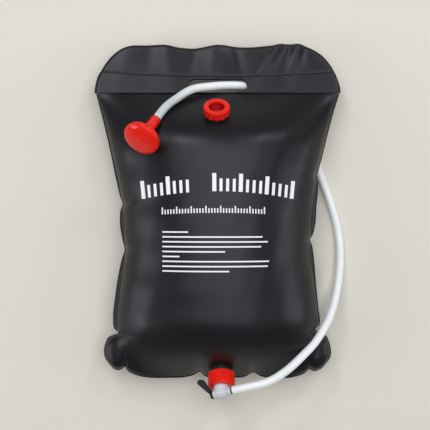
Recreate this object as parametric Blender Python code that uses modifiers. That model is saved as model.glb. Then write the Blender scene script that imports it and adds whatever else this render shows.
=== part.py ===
"""Camp shower bag: a filled film bag lying on its back, with filler, tap, hose and shower head.

+X is to the right of someone who looks down on the bag with its header away from them, +Y is
towards the header and +Z is up. The origin is on the floor, in the middle of the space that the
bag and its tap take up. A distance "down" runs from the header's lower edge to the bag's bottom
edge. Each fitting is drawn about its own axis: (radius, height) points, the height counted from
the film's outer face.
"""

import math

import bmesh
import bpy
from mathutils import Matrix, Vector

# Clearances and walls that every piece shares
GAP = 0.0003  # between two pieces that touch
OVERRUN = 0.002  # how far a cutter runs past what it cuts
FILM = 0.0008  # wall of the bag's film and of the header's sheets
MERGE = 0.00001  # points closer than this are one point

# Bag: its outline in plan
BAG_WIDTH = 0.385  # across the shoulders
BAG_LENGTH = 0.450  # shoulder to bottom edge
BOTTOM_WELD = 0.005  # flat weld along the bottom edge
# Shares of the length, and of half the width, down one side: shoulder, waist, corner ear, bottom
OUTLINE_SHARES = (
    (0.000, 1.000),
    (0.100, 0.935),
    (0.210, 0.879),
    (0.310, 0.826),
    (0.390, 0.798),
    (0.500, 0.782),
    (0.560, 0.774),
    (0.620, 0.794),
    (0.720, 0.827),
    (0.790, 0.850),
    (0.845, 0.838),
    (0.870, 0.885),
    (0.915, 0.930),
    (0.953, 0.900),
    (0.972, 0.835),
    (0.985, 0.730),
    (0.994, 0.630),
    (1.000, 0.520),
)
# The same for the swollen part, inside the side welds and the flat corner ears
SWELL_SHARES = (
    (0.000, 0.985),
    (0.100, 0.920),
    (0.210, 0.864),
    (0.310, 0.811),
    (0.390, 0.783),
    (0.500, 0.767),
    (0.560, 0.759),
    (0.620, 0.779),
    (0.720, 0.811),
    (0.790, 0.826),
    (0.845, 0.800),
    (0.915, 0.755),
    (0.955, 0.705),
    (1.000, 0.600),
)

# Bag: its heights
SHOULDER_HEIGHT = 0.045  # side seam above the floor at the shoulder
BOTTOM_HEIGHT = 0.041  # and at the bottom edge
CROWN_HEIGHT = 0.080  # front film above the seam
CROWN_RISE = 0.100  # distance from the shoulder to the full crown
CROWN_FALL = 0.090  # distance from the full crown to the bottom weld
BELLY_DEPTH = 0.062  # back film below the seam, where the floor doesn't flatten it
BELLY_RISE = 0.140
BELLY_FALL = 0.080
EDGE_POWER = 0.6  # how steeply the film leaves the side seam
SAG_SHARE = 0.05  # how much lower the crown is at its ends than in its middle
LENGTH_STEPS = 24
WIDTH_STEPS = 10

# Header: two sheets over the bag's top margin, with a hand slot and a stiffening strip
HEADER_HEIGHT = 0.0812
HEADER_SIDE = 0.0072  # straight part of each side, below the corner's arc
HEADER_CORNER = HEADER_HEIGHT - HEADER_SIDE
HEADER_DROOP = math.radians(11.3)
HEADER_TRIM = 0.001  # from the shoulder line up to the sheets' lower edge
SLEEVE_LINE = 0.0335  # weld line above the slot, where the film's margins end
MARGIN_INSET = 0.002  # the margins stop this far inside the header's edge
SLOT_LENGTH = 0.0946
SLOT_HEIGHT = 0.0222
SLOT_RISE = 0.0128  # centre of the slot above the shoulder line
STRIP_LENGTH = 0.260
STRIP_HEIGHT = 0.022
STRIP_WALL = 0.0019
CORNER_STEPS = 12

# Filler: neck, gasket and screw cap
FILLER_OFFSET = -0.0015  # to the left of the bag's middle
FILLER_DOWN = 0.0395
FILLER_BORE_RADIUS = 0.0140
FILLER_NECK_RADIUS = 0.0164
FILLER_SPIGOT_RADIUS = 0.0156
FILLER_SPIGOT_DEPTH = 0.005
FILLER_FLANGE_RADIUS = 0.0192
FILLER_FLANGE_WALL = 0.0018
FILLER_NECK_HEIGHT = 0.0125
GASKET_WALL = 0.0018
CAP_RADIUS = 0.0203
CAP_FACE_RADIUS = 0.0192
CAP_CHAMFER = 0.0011
CAP_HEIGHT = 0.0128
CAP_THREAD_CLEARANCE = 0.0008
CAP_RECESS_RADIUS = 0.01225
CAP_RECESS_DEPTH = 0.0070
CAP_PLATE = 0.0021
CAP_CUP_WALL = 0.00125
CAP_FLUTES = 12
CAP_FLUTE_RADIUS = 0.0032

# Outlet: neck, gasket, slip ring and union nut
OUTLET_OFFSET = 0.006  # to the right of the bag's middle
WELD_CLEARANCE = 0.0015  # neck to bottom weld, along the film
OUTLET_NECK_RADIUS = 0.0165
OUTLET_NECK_BORE = 0.0135
OUTLET_NECK_HEIGHT = 0.0220
OUTLET_SPIGOT_RADIUS = 0.0123
OUTLET_SPIGOT_DEPTH = 0.004
OUTLET_BORE_RADIUS = 0.0105
OUTLET_BASE_WALL = 0.003
SLIP_RING_WALL = 0.0008
NUT_RADIUS = 0.0210
NUT_CHAMFER = 0.0008
NUT_LENGTH = 0.0225
NUT_LIP_WALL = 0.0024
NUT_FLUTES = 22
NUT_FLUTE_RADIUS = 0.0018
NUT_FLUTE_DEPTH = 0.0008

# Tap: a domed body with a ported plug across it, a lever on one side and a hose barb on the other
TAP_SWIVEL = math.radians(28)  # body turned about the outlet, barb end up
TAP_STEM_RADIUS = 0.0125  # where the nut runs on it
TAP_RADIUS = 0.0113
TAP_DOME_RISE = 0.0096  # plug's axis to the top of the dome
TAP_STAND_OFF = 0.0093  # nut's front face to the plug's axis
TAP_TAIL_WALL = 0.0020
TAP_INLET_RADIUS = 0.0086
TAP_PORT_RADIUS = 0.0028
TAP_FLOOR_WALL = 0.0020  # between the inlet and the plug's bore
PLUG_RADIUS = 0.0052
PLUG_REACH = 0.0066  # from the middle towards the barb
PLUG_BORE_RADIUS = 0.0030
PLUG_SHOULDER = 0.0100  # from the middle towards the lever
PLUG_NECK_RADIUS = 0.0042
PLUG_STEM_RADIUS = 0.0032
O_RING_WIRE = 0.00055  # radius of the ring's own section
O_RING_PLACES_SHARES = (-0.72, 0.72)  # of the plug's shoulder and reach
MOUTH_RADIUS = 0.0080  # boss that the plug goes in by
MOUTH_REACH = 0.0120
RETAINER_RADIUS = 0.0065
RETAINER_WALL = 0.0012
COLLAR_ROOT_RADIUS = 0.0054
COLLAR_RADIUS = 0.0062
COLLAR_REACH = 0.0172
BARB_RADIUS = 0.0040
BARB_RIDGE = 0.00025
BARB_RIDGES = 3
BARB_REACH = 0.0330
BARB_BORE_RADIUS = 0.0026
BARB_RING_RADIUS = 0.0055
BARB_RING_WALL = 0.0024
LEVER_HUB_RADIUS = 0.0066
LEVER_HUB_WALL = 0.0052
LEVER_ROOT_RADIUS = 0.0034
LEVER_TIP_RADIUS = 0.00615
LEVER_LENGTH = 0.0270  # root centre to tip centre
LEVER_FLARE = math.radians(7)  # outwards from the plane that the lever turns in
LEVER_LIFT = math.radians(75)  # round the plug's axis, from along the outlet's axis
LEVER_WALL = 0.0032

# Shower head: a shell with a socket for the hose, a seal and a perforated rose
HEAD_RADIUS = 0.0280
HEAD_AXIS = (-0.394, -0.664, 0.636)  # the way that the rose faces
HEAD_ACROSS = -0.1130  # middle of its rim
HEAD_DOWN = 0.0787
HEAD_REST_GAP = -0.0005  # from the film's true curve, which its facets lie a little under
HEAD_BACK = 0.0125  # rim to where the neck begins
HEAD_FLARE_SHARE = 0.2  # of the back: the straight band under the rim
HEAD_LENGTH = 0.0487  # rim to the end of the neck
HEAD_NECK_RADIUS = 0.0083
HEAD_WALL = 0.0018
HEAD_RIM_WALL = 0.0026
HEAD_CHANNEL_RADIUS = 0.0036
SOCKET_DEPTH = 0.0160
SEAL_WALL = 0.0012
SEAL_WIDTH = 0.0018
SEAL_SINK = 0.0004  # into the hollow, below where it starts to narrow
ROSE_RISE = 0.0075  # rim to the middle of the rose
ROSE_WALL = 0.0016
ROSE_SKIRT = 0.0030
HOLE_RADIUS = 0.0007
HOLE_RING_SHARES = ((8, 0.32), (14, 0.60), (20, 0.84))  # holes, and share of the rose's radius
HEAD_CURVE_STEPS = 8

# Hose: its route (across, down, height) between the straight ends at the tap and the shower head
HOSE_RADIUS = 0.0064
HOSE_BORE_RADIUS = 0.0048
HOSE_STRAIGHT = 0.0140
HOSE_SPACING = 0.024  # between the points that the route is read at
HOSE_ROUTE = (
    (0.0760, 0.4465, 0.0940),
    (0.1030, 0.4325, 0.0870),
    (0.1290, 0.4130, 0.0735),
    (0.1555, 0.3880, 0.0585),
    (0.1780, 0.3530, 0.0430),
    (0.1915, 0.3160, 0.0240),
    (0.1985, 0.2780, 0.0108),
    (0.1990, 0.2400, 0.0069),
    (0.1925, 0.2000, 0.0068),
    (0.1800, 0.1600, 0.0068),
    (0.1670, 0.1260, 0.0068),
    (0.1560, 0.0920, 0.0068),
    (0.1460, 0.0590, 0.0073),
    (0.1310, 0.0310, 0.0088),
    (0.1090, 0.0080, 0.0130),
    (0.0810, -0.0080, 0.0210),
    (0.0500, -0.0142, 0.0300),
    (0.0200, -0.0146, 0.0385),
    (-0.0100, -0.0113, 0.0480),
    (-0.0400, -0.0048, 0.0585),
    (-0.0630, 0.0108, 0.0700),
    (-0.0800, 0.0262, 0.0835),
)

STEPS = 36  # round a fitting
FINE_STEPS = 48  # round the cap, the nut and the shower head

BAG = None
CUTTERS = None
INK = {}


def smooth_between(shares, at):
    """Reads a table of shares at one place, along straight runs between its rows."""
    for (low, start), (high, end) in zip(shares, shares[1:]):
        if at <= high:
            return start + (end - start) * (max(at, low) - low) / (high - low)
    return shares[-1][1]


def quarter_wave(distance, reach):
    """Rises from 0 to 1 over the reach, steep at first and level at its end."""
    share = min(1, max(0, distance / reach))
    return math.sin(share * math.pi / 2)


def swell_end():
    return BAG_LENGTH - BOTTOM_WELD


def swell_width(down):
    """Half the width of the swollen part."""
    return smooth_between(SWELL_SHARES, down / BAG_LENGTH) * BAG_WIDTH / 2


def outline_width(down):
    """Half the width of the film, which above the shoulder is the header's margin."""
    if down >= 0:
        return smooth_between(OUTLINE_SHARES, down / BAG_LENGTH) * BAG_WIDTH / 2
    return header_width(-down / math.cos(HEADER_DROOP)) - MARGIN_INSET


def header_width(up):
    """Half the header's width at a height along its sheets, round its corner."""
    above = max(0, up - HEADER_SIDE)
    return BAG_WIDTH / 2 - HEADER_CORNER + math.sqrt(HEADER_CORNER**2 - above**2)


def seam_height(down):
    """Height of the welded seam: level down the bag, and drooping along the header."""
    if down < 0:
        return SHOULDER_HEIGHT + down * math.tan(HEADER_DROOP)
    return SHOULDER_HEIGHT + (BOTTOM_HEIGHT - SHOULDER_HEIGHT) * down / BAG_LENGTH


def swell(across, down, rise, fall):
    """Share of the full swelling at a place: none on the seam, one on the crown."""
    if down <= 0 or down >= swell_end():
        return 0
    side = min(1, abs(across) / swell_width(down))
    middle = (rise + swell_end() - fall) / 2
    sag = SAG_SHARE * ((down - middle) / middle) ** 2
    lengthwise = quarter_wave(down, rise) * quarter_wave(swell_end() - down, fall)
    return lengthwise * (1 - sag) * (1 - side**2) ** EDGE_POWER


def front_height(across, down):
    """Inner face of the front film."""
    crown = CROWN_HEIGHT * swell(across, down, CROWN_RISE, CROWN_FALL)
    return seam_height(down) + GAP / 2 + crown


def back_height(across, down):
    """Outer face of the back film, flat where it lies on the floor."""
    belly = BELLY_DEPTH * swell(across, down, BELLY_RISE, BELLY_FALL)
    return max(0, seam_height(down) - GAP / 2 - FILM - belly)


def front_slope(down):
    """Fall of the front film per unit of length, along the middle of the bag."""
    return (front_height(0, down + FILM) - front_height(0, down - FILM)) / (2 * FILM)


def front_normal(down):
    """The way that the front film faces, along the middle of the bag."""
    return Vector((0, front_slope(down), 1)).normalized()


def front_face(across, down):
    """Outer face of the front film, straight above a place."""
    return front_height(across, down) + FILM * math.hypot(1, front_slope(down))


def outlet_down():
    """Where the outlet's axis meets the film: its neck clears the bottom weld."""
    fall = math.atan(CROWN_HEIGHT * math.pi / 2 / CROWN_FALL)
    return swell_end() - (OUTLET_NECK_RADIUS + WELD_CLEARANCE) * math.cos(fall)


def nut_front():
    """Height of the nut's front face over the film, along the outlet's axis."""
    rings = GASKET_WALL + TAP_TAIL_WALL + SLIP_RING_WALL
    return OUTLET_NECK_HEIGHT + rings + 4 * GAP + NUT_LIP_WALL


def tap_height():
    """Height of the plug's axis over the film, along the outlet's axis."""
    return nut_front() + TAP_STAND_OFF


def shoulder_y():
    """Puts the middle of the header, the bag and the tap at Y = 0."""
    towards_tap = -front_normal(outlet_down()).y
    tap_end = outlet_down() + tap_height() * towards_tap + TAP_DOME_RISE
    return (tap_end - HEADER_HEIGHT * math.cos(HEADER_DROOP)) / 2


def on_film(across, down):
    """Point on the front film's outer face."""
    return Vector((across, shoulder_y() - down, front_face(across, down)))


def start_scene():
    """Empties the scene and makes the collections."""
    global BAG, CUTTERS
    for old in list(bpy.data.objects):
        bpy.data.objects.remove(old, do_unlink=True)
    BAG = bpy.data.collections.new("camp_shower_bag")
    CUTTERS = bpy.data.collections.new("cutters")
    for group in (BAG, CUTTERS):
        bpy.context.scene.collection.children.link(group)


def ink(name, colour, roughness, transmission=0.0):
    """One Principled material."""
    made = bpy.data.materials.new(name)
    made.use_nodes = True
    shader = made.node_tree.nodes["Principled BSDF"]
    shader.inputs["Base Color"].default_value = (*colour, 1)
    shader.inputs["Roughness"].default_value = roughness
    shader.inputs["Metallic"].default_value = 0
    shader.inputs["Transmission Weight"].default_value = transmission
    made.diffuse_color = (*colour, 1)
    INK[name] = made


def make_materials():
    ink("black_film", (0.018, 0.018, 0.019), 0.42)
    ink("red_plastic", (0.72, 0.012, 0.008), 0.25)
    ink("milky_plastic", (0.80, 0.82, 0.84), 0.30, 0.5)
    ink("milky_hose", (0.78, 0.80, 0.82), 0.28, 0.4)
    ink("black_plastic", (0.012, 0.012, 0.013), 0.45)
    ink("black_rubber", (0.010, 0.010, 0.010), 0.70)
    ink("white_plastic", (0.75, 0.75, 0.73), 0.40)


def frame(name, place, z_axis, x_axis):
    """Empty at a place, with two of its axes given; pieces drawn about an axis hang from it."""
    z = Vector(z_axis).normalized()
    y = z.cross(Vector(x_axis)).normalized()
    empty = bpy.data.objects.new(name, None)
    BAG.objects.link(empty)
    turn = Matrix((y.cross(z), y, z)).transposed()
    empty.matrix_world = Matrix.Translation(place) @ turn.to_4x4()
    return empty


def add(name, mesh, colour=None, parent=None):
    """Object for a mesh: a piece if it has a colour, else a cutter or a joined shape."""
    made = bpy.data.objects.new(name, mesh)
    (BAG if colour else CUTTERS).objects.link(made)
    made.parent = parent
    if colour:
        mesh.materials.append(INK[colour])
    else:
        made.hide_render = True
        made.display_type = "WIRE"
    return made


def turned(name, points, colour=None, parent=None, steps=STEPS, closed=False):
    """Piece turned about its own Z from (radius, height) points, listed down the outer side."""
    mesh = bpy.data.meshes.new(name)
    edges = [(i, i + 1) for i in range(len(points) - 1)]
    if closed:
        edges.append((len(points) - 1, 0))
    mesh.from_pydata([(radius, 0, height) for radius, height in points], edges, [])
    made = add(name, mesh, colour, parent)
    screw = made.modifiers.new("turn", "SCREW")
    screw.steps = screw.render_steps = steps
    screw.use_merge_vertices = True
    screw.merge_threshold = MERGE
    screw.use_smooth_shade = True
    return made


def ring(name, inner, outer, low, high, colour, parent, steps=STEPS):
    """Plain ring between two radii and two heights."""
    points = [(inner, high), (outer, high), (outer, low), (inner, low)]
    return turned(name, points, colour, parent, steps, closed=True)


def rod(name, radius, low, high, parent, steps=STEPS):
    """Cylinder that cuts or joins."""
    points = [(0, high), (radius, high), (radius, low), (0, low)]
    return turned(name, points, None, parent, steps)


def boolean(target, tool, operation="DIFFERENCE"):
    """Cuts or joins one shape with another."""
    step = target.modifiers.new(tool.name, "BOOLEAN")
    step.operation = operation
    step.object = tool
    return target


def flat(name, outline, thickness, colour=None, parent=None, hole=None):
    """Flat piece from an outline in its own XY plane, with its middle at Z = 0."""
    curve = bpy.data.curves.new(name, "CURVE")
    curve.dimensions = "2D"
    curve.fill_mode = "BOTH"
    curve.extrude = thickness / 2
    for loop in (outline, hole):
        if loop:
            spline = curve.splines.new("POLY")
            spline.points.add(len(loop) - 1)
            spline.use_cyclic_u = True
            for point, (x, y) in zip(spline.points, loop):
                point.co = (x, y, 0, 1)
    return add(name, as_mesh(curve, name), colour, parent)


def as_mesh(curve, name):
    """Mesh of a curve, with its caps welded on."""
    drawn = bpy.data.objects.new(name + "_curve", curve)
    CUTTERS.objects.link(drawn)
    bpy.context.view_layer.update()
    seen = drawn.evaluated_get(bpy.context.evaluated_depsgraph_get())
    mesh = bpy.data.meshes.new_from_object(seen)
    bpy.data.objects.remove(drawn, do_unlink=True)
    work = bmesh.new()
    work.from_mesh(mesh)
    bmesh.ops.remove_doubles(work, verts=work.verts, dist=MERGE)
    work.to_mesh(mesh)
    work.free()
    mesh.materials.clear()
    return mesh


def arc(x, y, radius, start, end, steps):
    """Points of an arc, its angles in degrees."""
    turns = [math.radians(start + (end - start) * i / steps) for i in range(steps + 1)]
    return [(x + radius * math.cos(a), y + radius * math.sin(a)) for a in turns]


def flutes(name, count, radius, pitch_radius, low, high, parent):
    """Rods in a circle, as one cutter, for the finger flutes of a cap or a nut."""
    work = bmesh.new()
    for i in range(count):
        place = Matrix.Rotation(2 * math.pi * i / count, 4, "Z")
        place = place @ Matrix.Translation((pitch_radius, 0, (low + high) / 2))
        bmesh.ops.create_cone(
            work,
            cap_ends=True,
            segments=12,
            radius1=radius,
            radius2=radius,
            depth=high - low,
            matrix=place,
        )
    mesh = bpy.data.meshes.new(name)
    work.to_mesh(mesh)
    work.free()
    return add(name, mesh, None, parent)


def row_places():
    """Distances down the film of its rows of points: the margin, then closer at both ends."""
    margin = -SLEEVE_LINE * math.cos(HEADER_DROOP)
    rows = [margin, margin / 2, 0]
    for i in range(1, LENGTH_STEPS + 1):
        share = (1 - math.cos(math.pi * i / LENGTH_STEPS)) / 2
        rows.append(share * swell_end())
    return rows + [BAG_LENGTH]


def film(name, height, outwards):
    """One film of the bag: half a grid of points on its surface, mirrored and given its wall."""
    top = shoulder_y()
    rows = []
    for down in row_places():
        inner = min(swell_width(down), outline_width(down) - MARGIN_INSET)
        columns = [inner * math.sin(math.pi / 2 * j / WIDTH_STEPS) for j in range(WIDTH_STEPS + 1)]
        columns.append(outline_width(down))
        rows.append([(x, top - down, height(x, down)) for x in columns])
    wide = WIDTH_STEPS + 2
    points = [point for row in rows for point in row]
    faces = []
    for i in range(len(rows) - 1):
        for j in range(wide - 1):
            a = i * wide + j
            faces.append((a, a + wide, a + wide + 1, a + 1))
    mesh = bpy.data.meshes.new(name)
    mesh.from_pydata(points, [], faces)
    mesh.shade_smooth()
    made = add(name, mesh, "black_film")
    mirror = made.modifiers.new("other_half", "MIRROR")
    mirror.merge_threshold = MERGE
    wall = made.modifiers.new("wall", "SOLIDIFY")
    wall.thickness = FILM
    wall.offset = outwards
    return made


def make_bag():
    """Front and back film, open at the hand slot."""
    front = film("front_panel", front_height, 1)
    back = film("back_panel", back_height, 1)
    for side in (front, back):
        boolean(side, SLOT_CUTTER)
    return front


def header_outline():
    """Half-round shoulders over a straight lower edge, in the header's own plane."""
    side = BAG_WIDTH / 2
    corner_x = side - HEADER_CORNER
    right = arc(corner_x, HEADER_SIDE, HEADER_CORNER, 0, 90, CORNER_STEPS)
    left = arc(-corner_x, HEADER_SIDE, HEADER_CORNER, 90, 180, CORNER_STEPS)
    return [(-side, HEADER_TRIM), (side, HEADER_TRIM)] + right + left


def slot_outline(grow=0.0):
    """Stadium of the hand slot."""
    radius = SLOT_HEIGHT / 2 + grow
    end = SLOT_LENGTH / 2 + grow - radius
    right = arc(end, SLOT_RISE, radius, -90, 90, CORNER_STEPS)
    left = arc(-end, SLOT_RISE, radius, 90, 270, CORNER_STEPS)
    return right + left


def make_header():
    """Two sheets with the slot through them, and the strip in their sleeve."""
    place = (0, shoulder_y(), SHOULDER_HEIGHT)
    up = (0, math.sin(HEADER_DROOP), math.cos(HEADER_DROOP))
    plane = frame("header_plane", place, up, (1, 0, 0))
    level = GAP / 2 + FILM + GAP + FILM / 2
    for name, height in (("header_front_sheet", level), ("header_back_sheet", -level)):
        sheet = flat(name, header_outline(), FILM, "black_film", plane, slot_outline())
        sheet.location.z = height
    sleeve_middle = (SLEEVE_LINE + HEADER_HEIGHT) / 2
    end = STRIP_HEIGHT / 2
    run = STRIP_LENGTH / 2 - end
    outline = arc(run, 0, end, -90, 90, CORNER_STEPS) + arc(-run, 0, end, 90, 270, CORNER_STEPS)
    strip = flat("header_stiffener", outline, STRIP_WALL, "white_plastic", plane)
    strip.location.y = sleeve_middle
    return flat("slot_cutter", slot_outline(), 2 * level + 2 * OVERRUN, None, plane)


def make_filler(front):
    """Neck through the front film, its gasket, and the fluted cap with its recessed middle."""
    axis = frame("filler_axis", on_film(FILLER_OFFSET, FILLER_DOWN), front_normal(FILLER_DOWN), (1, 0, 0))
    hole = rod(
        "filler_hole",
        FILLER_SPIGOT_RADIUS + GAP,
        -FILLER_SPIGOT_DEPTH - OVERRUN,
        FILLER_SPIGOT_DEPTH,
        axis,
    )
    boolean(front, hole)
    lip = FILLER_NECK_HEIGHT
    flange_top = GAP + FILLER_FLANGE_WALL
    neck = [
        (FILLER_BORE_RADIUS, lip),
        (FILLER_NECK_RADIUS, lip),
        (FILLER_NECK_RADIUS, flange_top),
        (FILLER_FLANGE_RADIUS, flange_top),
        (FILLER_FLANGE_RADIUS, GAP),
        (FILLER_SPIGOT_RADIUS, GAP),
        (FILLER_SPIGOT_RADIUS, -FILLER_SPIGOT_DEPTH),
        (FILLER_BORE_RADIUS, -FILLER_SPIGOT_DEPTH),
    ]
    turned("filler_neck", neck, "black_plastic", axis, closed=True)
    cup_radius = CAP_RECESS_RADIUS + CAP_CUP_WALL
    gasket_low = lip + GAP
    gasket_high = gasket_low + GASKET_WALL
    ring(
        "filler_gasket",
        cup_radius + GAP,
        FILLER_NECK_RADIUS,
        gasket_low,
        gasket_high,
        "black_rubber",
        axis,
    )
    under = gasket_high + GAP
    top = under + CAP_PLATE
    bottom = top - CAP_HEIGHT
    recess = top - CAP_RECESS_DEPTH
    skirt = FILLER_NECK_RADIUS + CAP_THREAD_CLEARANCE
    profile = [
        (0, recess),
        (CAP_RECESS_RADIUS, recess),
        (CAP_RECESS_RADIUS, top),
        (CAP_FACE_RADIUS, top),
        (CAP_RADIUS, top - CAP_CHAMFER),
        (CAP_RADIUS, bottom),
        (skirt, bottom),
        (skirt, under),
        (cup_radius, under),
        (cup_radius, recess - CAP_PLATE),
        (0, recess - CAP_PLATE),
    ]
    cap = turned("filler_cap", profile, "red_plastic", axis, FINE_STEPS)
    pitch = CAP_FACE_RADIUS + CAP_FLUTE_RADIUS
    cutter = flutes(
        "cap_flutes",
        CAP_FLUTES,
        CAP_FLUTE_RADIUS,
        pitch,
        bottom - OVERRUN,
        top + OVERRUN,
        axis,
    )
    boolean(cap, cutter)


def make_outlet(front):
    """Neck through the front film near the bottom edge, its gasket, slip ring and union nut."""
    place = on_film(OUTLET_OFFSET, outlet_down())
    axis = frame("outlet_axis", place, front_normal(outlet_down()), (1, 0, 0))
    hole = rod(
        "outlet_hole",
        OUTLET_SPIGOT_RADIUS + GAP,
        -OUTLET_SPIGOT_DEPTH - OVERRUN,
        OUTLET_SPIGOT_DEPTH,
        axis,
    )
    boolean(front, hole)
    lip = OUTLET_NECK_HEIGHT
    neck = [
        (OUTLET_NECK_BORE, lip),
        (OUTLET_NECK_RADIUS, lip),
        (OUTLET_NECK_RADIUS, GAP),
        (OUTLET_SPIGOT_RADIUS, GAP),
        (OUTLET_SPIGOT_RADIUS, -OUTLET_SPIGOT_DEPTH),
        (OUTLET_BORE_RADIUS, -OUTLET_SPIGOT_DEPTH),
        (OUTLET_BORE_RADIUS, OUTLET_BASE_WALL),
        (OUTLET_NECK_BORE, OUTLET_BASE_WALL),
    ]
    turned("outlet_neck", neck, "black_plastic", axis, closed=True)
    gasket_low = lip + GAP
    gasket_high = gasket_low + GASKET_WALL
    tail = tail_radius()
    ring(
        "outlet_gasket",
        OUTLET_BORE_RADIUS,
        tail,
        gasket_low,
        gasket_high,
        "black_rubber",
        axis,
    )
    slip_low = gasket_high + GAP + TAP_TAIL_WALL + GAP
    slip_high = slip_low + SLIP_RING_WALL
    ring(
        "nut_slip_ring",
        TAP_STEM_RADIUS + GAP,
        tail,
        slip_low,
        slip_high,
        "white_plastic",
        axis,
    )
    lip_low = slip_high + GAP
    top = nut_front()
    bottom = top - NUT_LENGTH
    skirt = nut_bore()
    nut_points = [
        (TAP_STEM_RADIUS + GAP, top),
        (NUT_RADIUS - NUT_CHAMFER, top),
        (NUT_RADIUS, top - NUT_CHAMFER),
        (NUT_RADIUS, bottom + NUT_CHAMFER),
        (NUT_RADIUS - NUT_CHAMFER, bottom),
        (skirt, bottom),
        (skirt, lip_low),
        (TAP_STEM_RADIUS + GAP, lip_low),
    ]
    nut = turned("outlet_nut", nut_points, "red_plastic", axis, FINE_STEPS, closed=True)
    pitch = NUT_RADIUS + NUT_FLUTE_RADIUS - NUT_FLUTE_DEPTH
    cutter = flutes(
        "nut_flutes",
        NUT_FLUTES,
        NUT_FLUTE_RADIUS,
        pitch,
        bottom - OVERRUN,
        top + OVERRUN,
        axis,
    )
    boolean(nut, cutter)
    return axis


def nut_bore():
    """Radius of the nut's bore, which its thread and the tap's tail fit."""
    return OUTLET_NECK_RADIUS + CAP_THREAD_CLEARANCE


def tail_radius():
    """Radius of the tap's tail flange and of the rings that the nut holds on it."""
    return nut_bore() - 2 * GAP


def tap_frames(outlet):
    """Frames of the tap's body and of its plug, lever and barb, whose Z points to the barb."""
    out = outlet.matrix_world.to_3x3()
    up = out @ Vector((0, 0, 1))
    across = out @ Vector((math.cos(TAP_SWIVEL), math.sin(TAP_SWIVEL), 0))
    place = outlet.matrix_world.translation + up * tap_height()
    body = frame("tap_axis", place, up, across)
    plug = frame("plug_axis", place, across, up.cross(across))
    return body, plug


def make_tap_body(body, plug):
    """Domed stem with a tail flange, a mouth for the plug, and a collar with its hose barb."""
    tail = tail_radius()
    tail_top = OUTLET_NECK_HEIGHT + GASKET_WALL + 2 * GAP + TAP_TAIL_WALL - tap_height()
    inlet_end = -PLUG_RADIUS - GAP - TAP_FLOOR_WALL
    wave = arc(0, 0, 1, 90, 0, STEPS // 4)
    dome = [(TAP_RADIUS * c, TAP_DOME_RISE * s) for c, s in wave]
    profile = [(0, TAP_DOME_RISE)] + dome[1:] + [
        (TAP_STEM_RADIUS, -TAP_STAND_OFF),
        (TAP_STEM_RADIUS, tail_top),
        (tail, tail_top),
        (tail, tail_top - TAP_TAIL_WALL),
        (TAP_INLET_RADIUS, tail_top - TAP_TAIL_WALL),
        (TAP_INLET_RADIUS, inlet_end),
        (TAP_PORT_RADIUS, inlet_end),
        (TAP_PORT_RADIUS, 0),
        (0, 0),
    ]
    tap = turned("tap_body", profile, "milky_plastic", body)
    mouth = rod("tap_mouth", MOUTH_RADIUS, -MOUTH_REACH, 0, plug)
    boolean(tap, mouth, "UNION")
    ridge = (BARB_REACH - COLLAR_REACH - BARB_RING_WALL - 2 * GAP) / BARB_RIDGES
    outer = [(0, BARB_REACH)]
    for i in range(BARB_RIDGES):
        outer.append((BARB_RADIUS, BARB_REACH - i * ridge))
        outer.append((BARB_RADIUS + BARB_RIDGE, BARB_REACH - (i + 1) * ridge + BARB_RIDGE))
    outer += [
        (BARB_RADIUS, BARB_REACH - BARB_RIDGES * ridge),
        (BARB_RADIUS, COLLAR_REACH),
        (COLLAR_RADIUS, COLLAR_REACH),
        (COLLAR_RADIUS, COLLAR_REACH - FILM),
        (COLLAR_ROOT_RADIUS, TAP_RADIUS - FILM),
        (COLLAR_ROOT_RADIUS, 0),
        (0, 0),
    ]
    barb = turned("tap_barb", outer, None, plug)
    boolean(tap, barb, "UNION")
    seat = PLUG_RADIUS + GAP
    back = RETAINER_RADIUS + GAP
    step = MOUTH_REACH - RETAINER_WALL - GAP
    bore = [
        (0, BARB_REACH + OVERRUN),
        (BARB_BORE_RADIUS, BARB_REACH + OVERRUN),
        (BARB_BORE_RADIUS, PLUG_REACH + GAP),
        (seat, PLUG_REACH + GAP),
        (seat, -step),
        (back, -step),
        (back, -MOUTH_REACH - OVERRUN),
        (0, -MOUTH_REACH - OVERRUN),
    ]
    boolean(tap, turned("tap_bore", bore, None, plug))
    retainer_low = -MOUTH_REACH
    ring(
        "plug_retaining_ring",
        PLUG_NECK_RADIUS + GAP,
        RETAINER_RADIUS,
        retainer_low,
        retainer_low + RETAINER_WALL,
        "white_plastic",
        plug,
    )
    ring(
        "barb_ring",
        BARB_RADIUS + BARB_RIDGE + GAP,
        BARB_RING_RADIUS,
        COLLAR_REACH + GAP,
        COLLAR_REACH + GAP + BARB_RING_WALL,
        "black_rubber",
        plug,
    )


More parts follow.
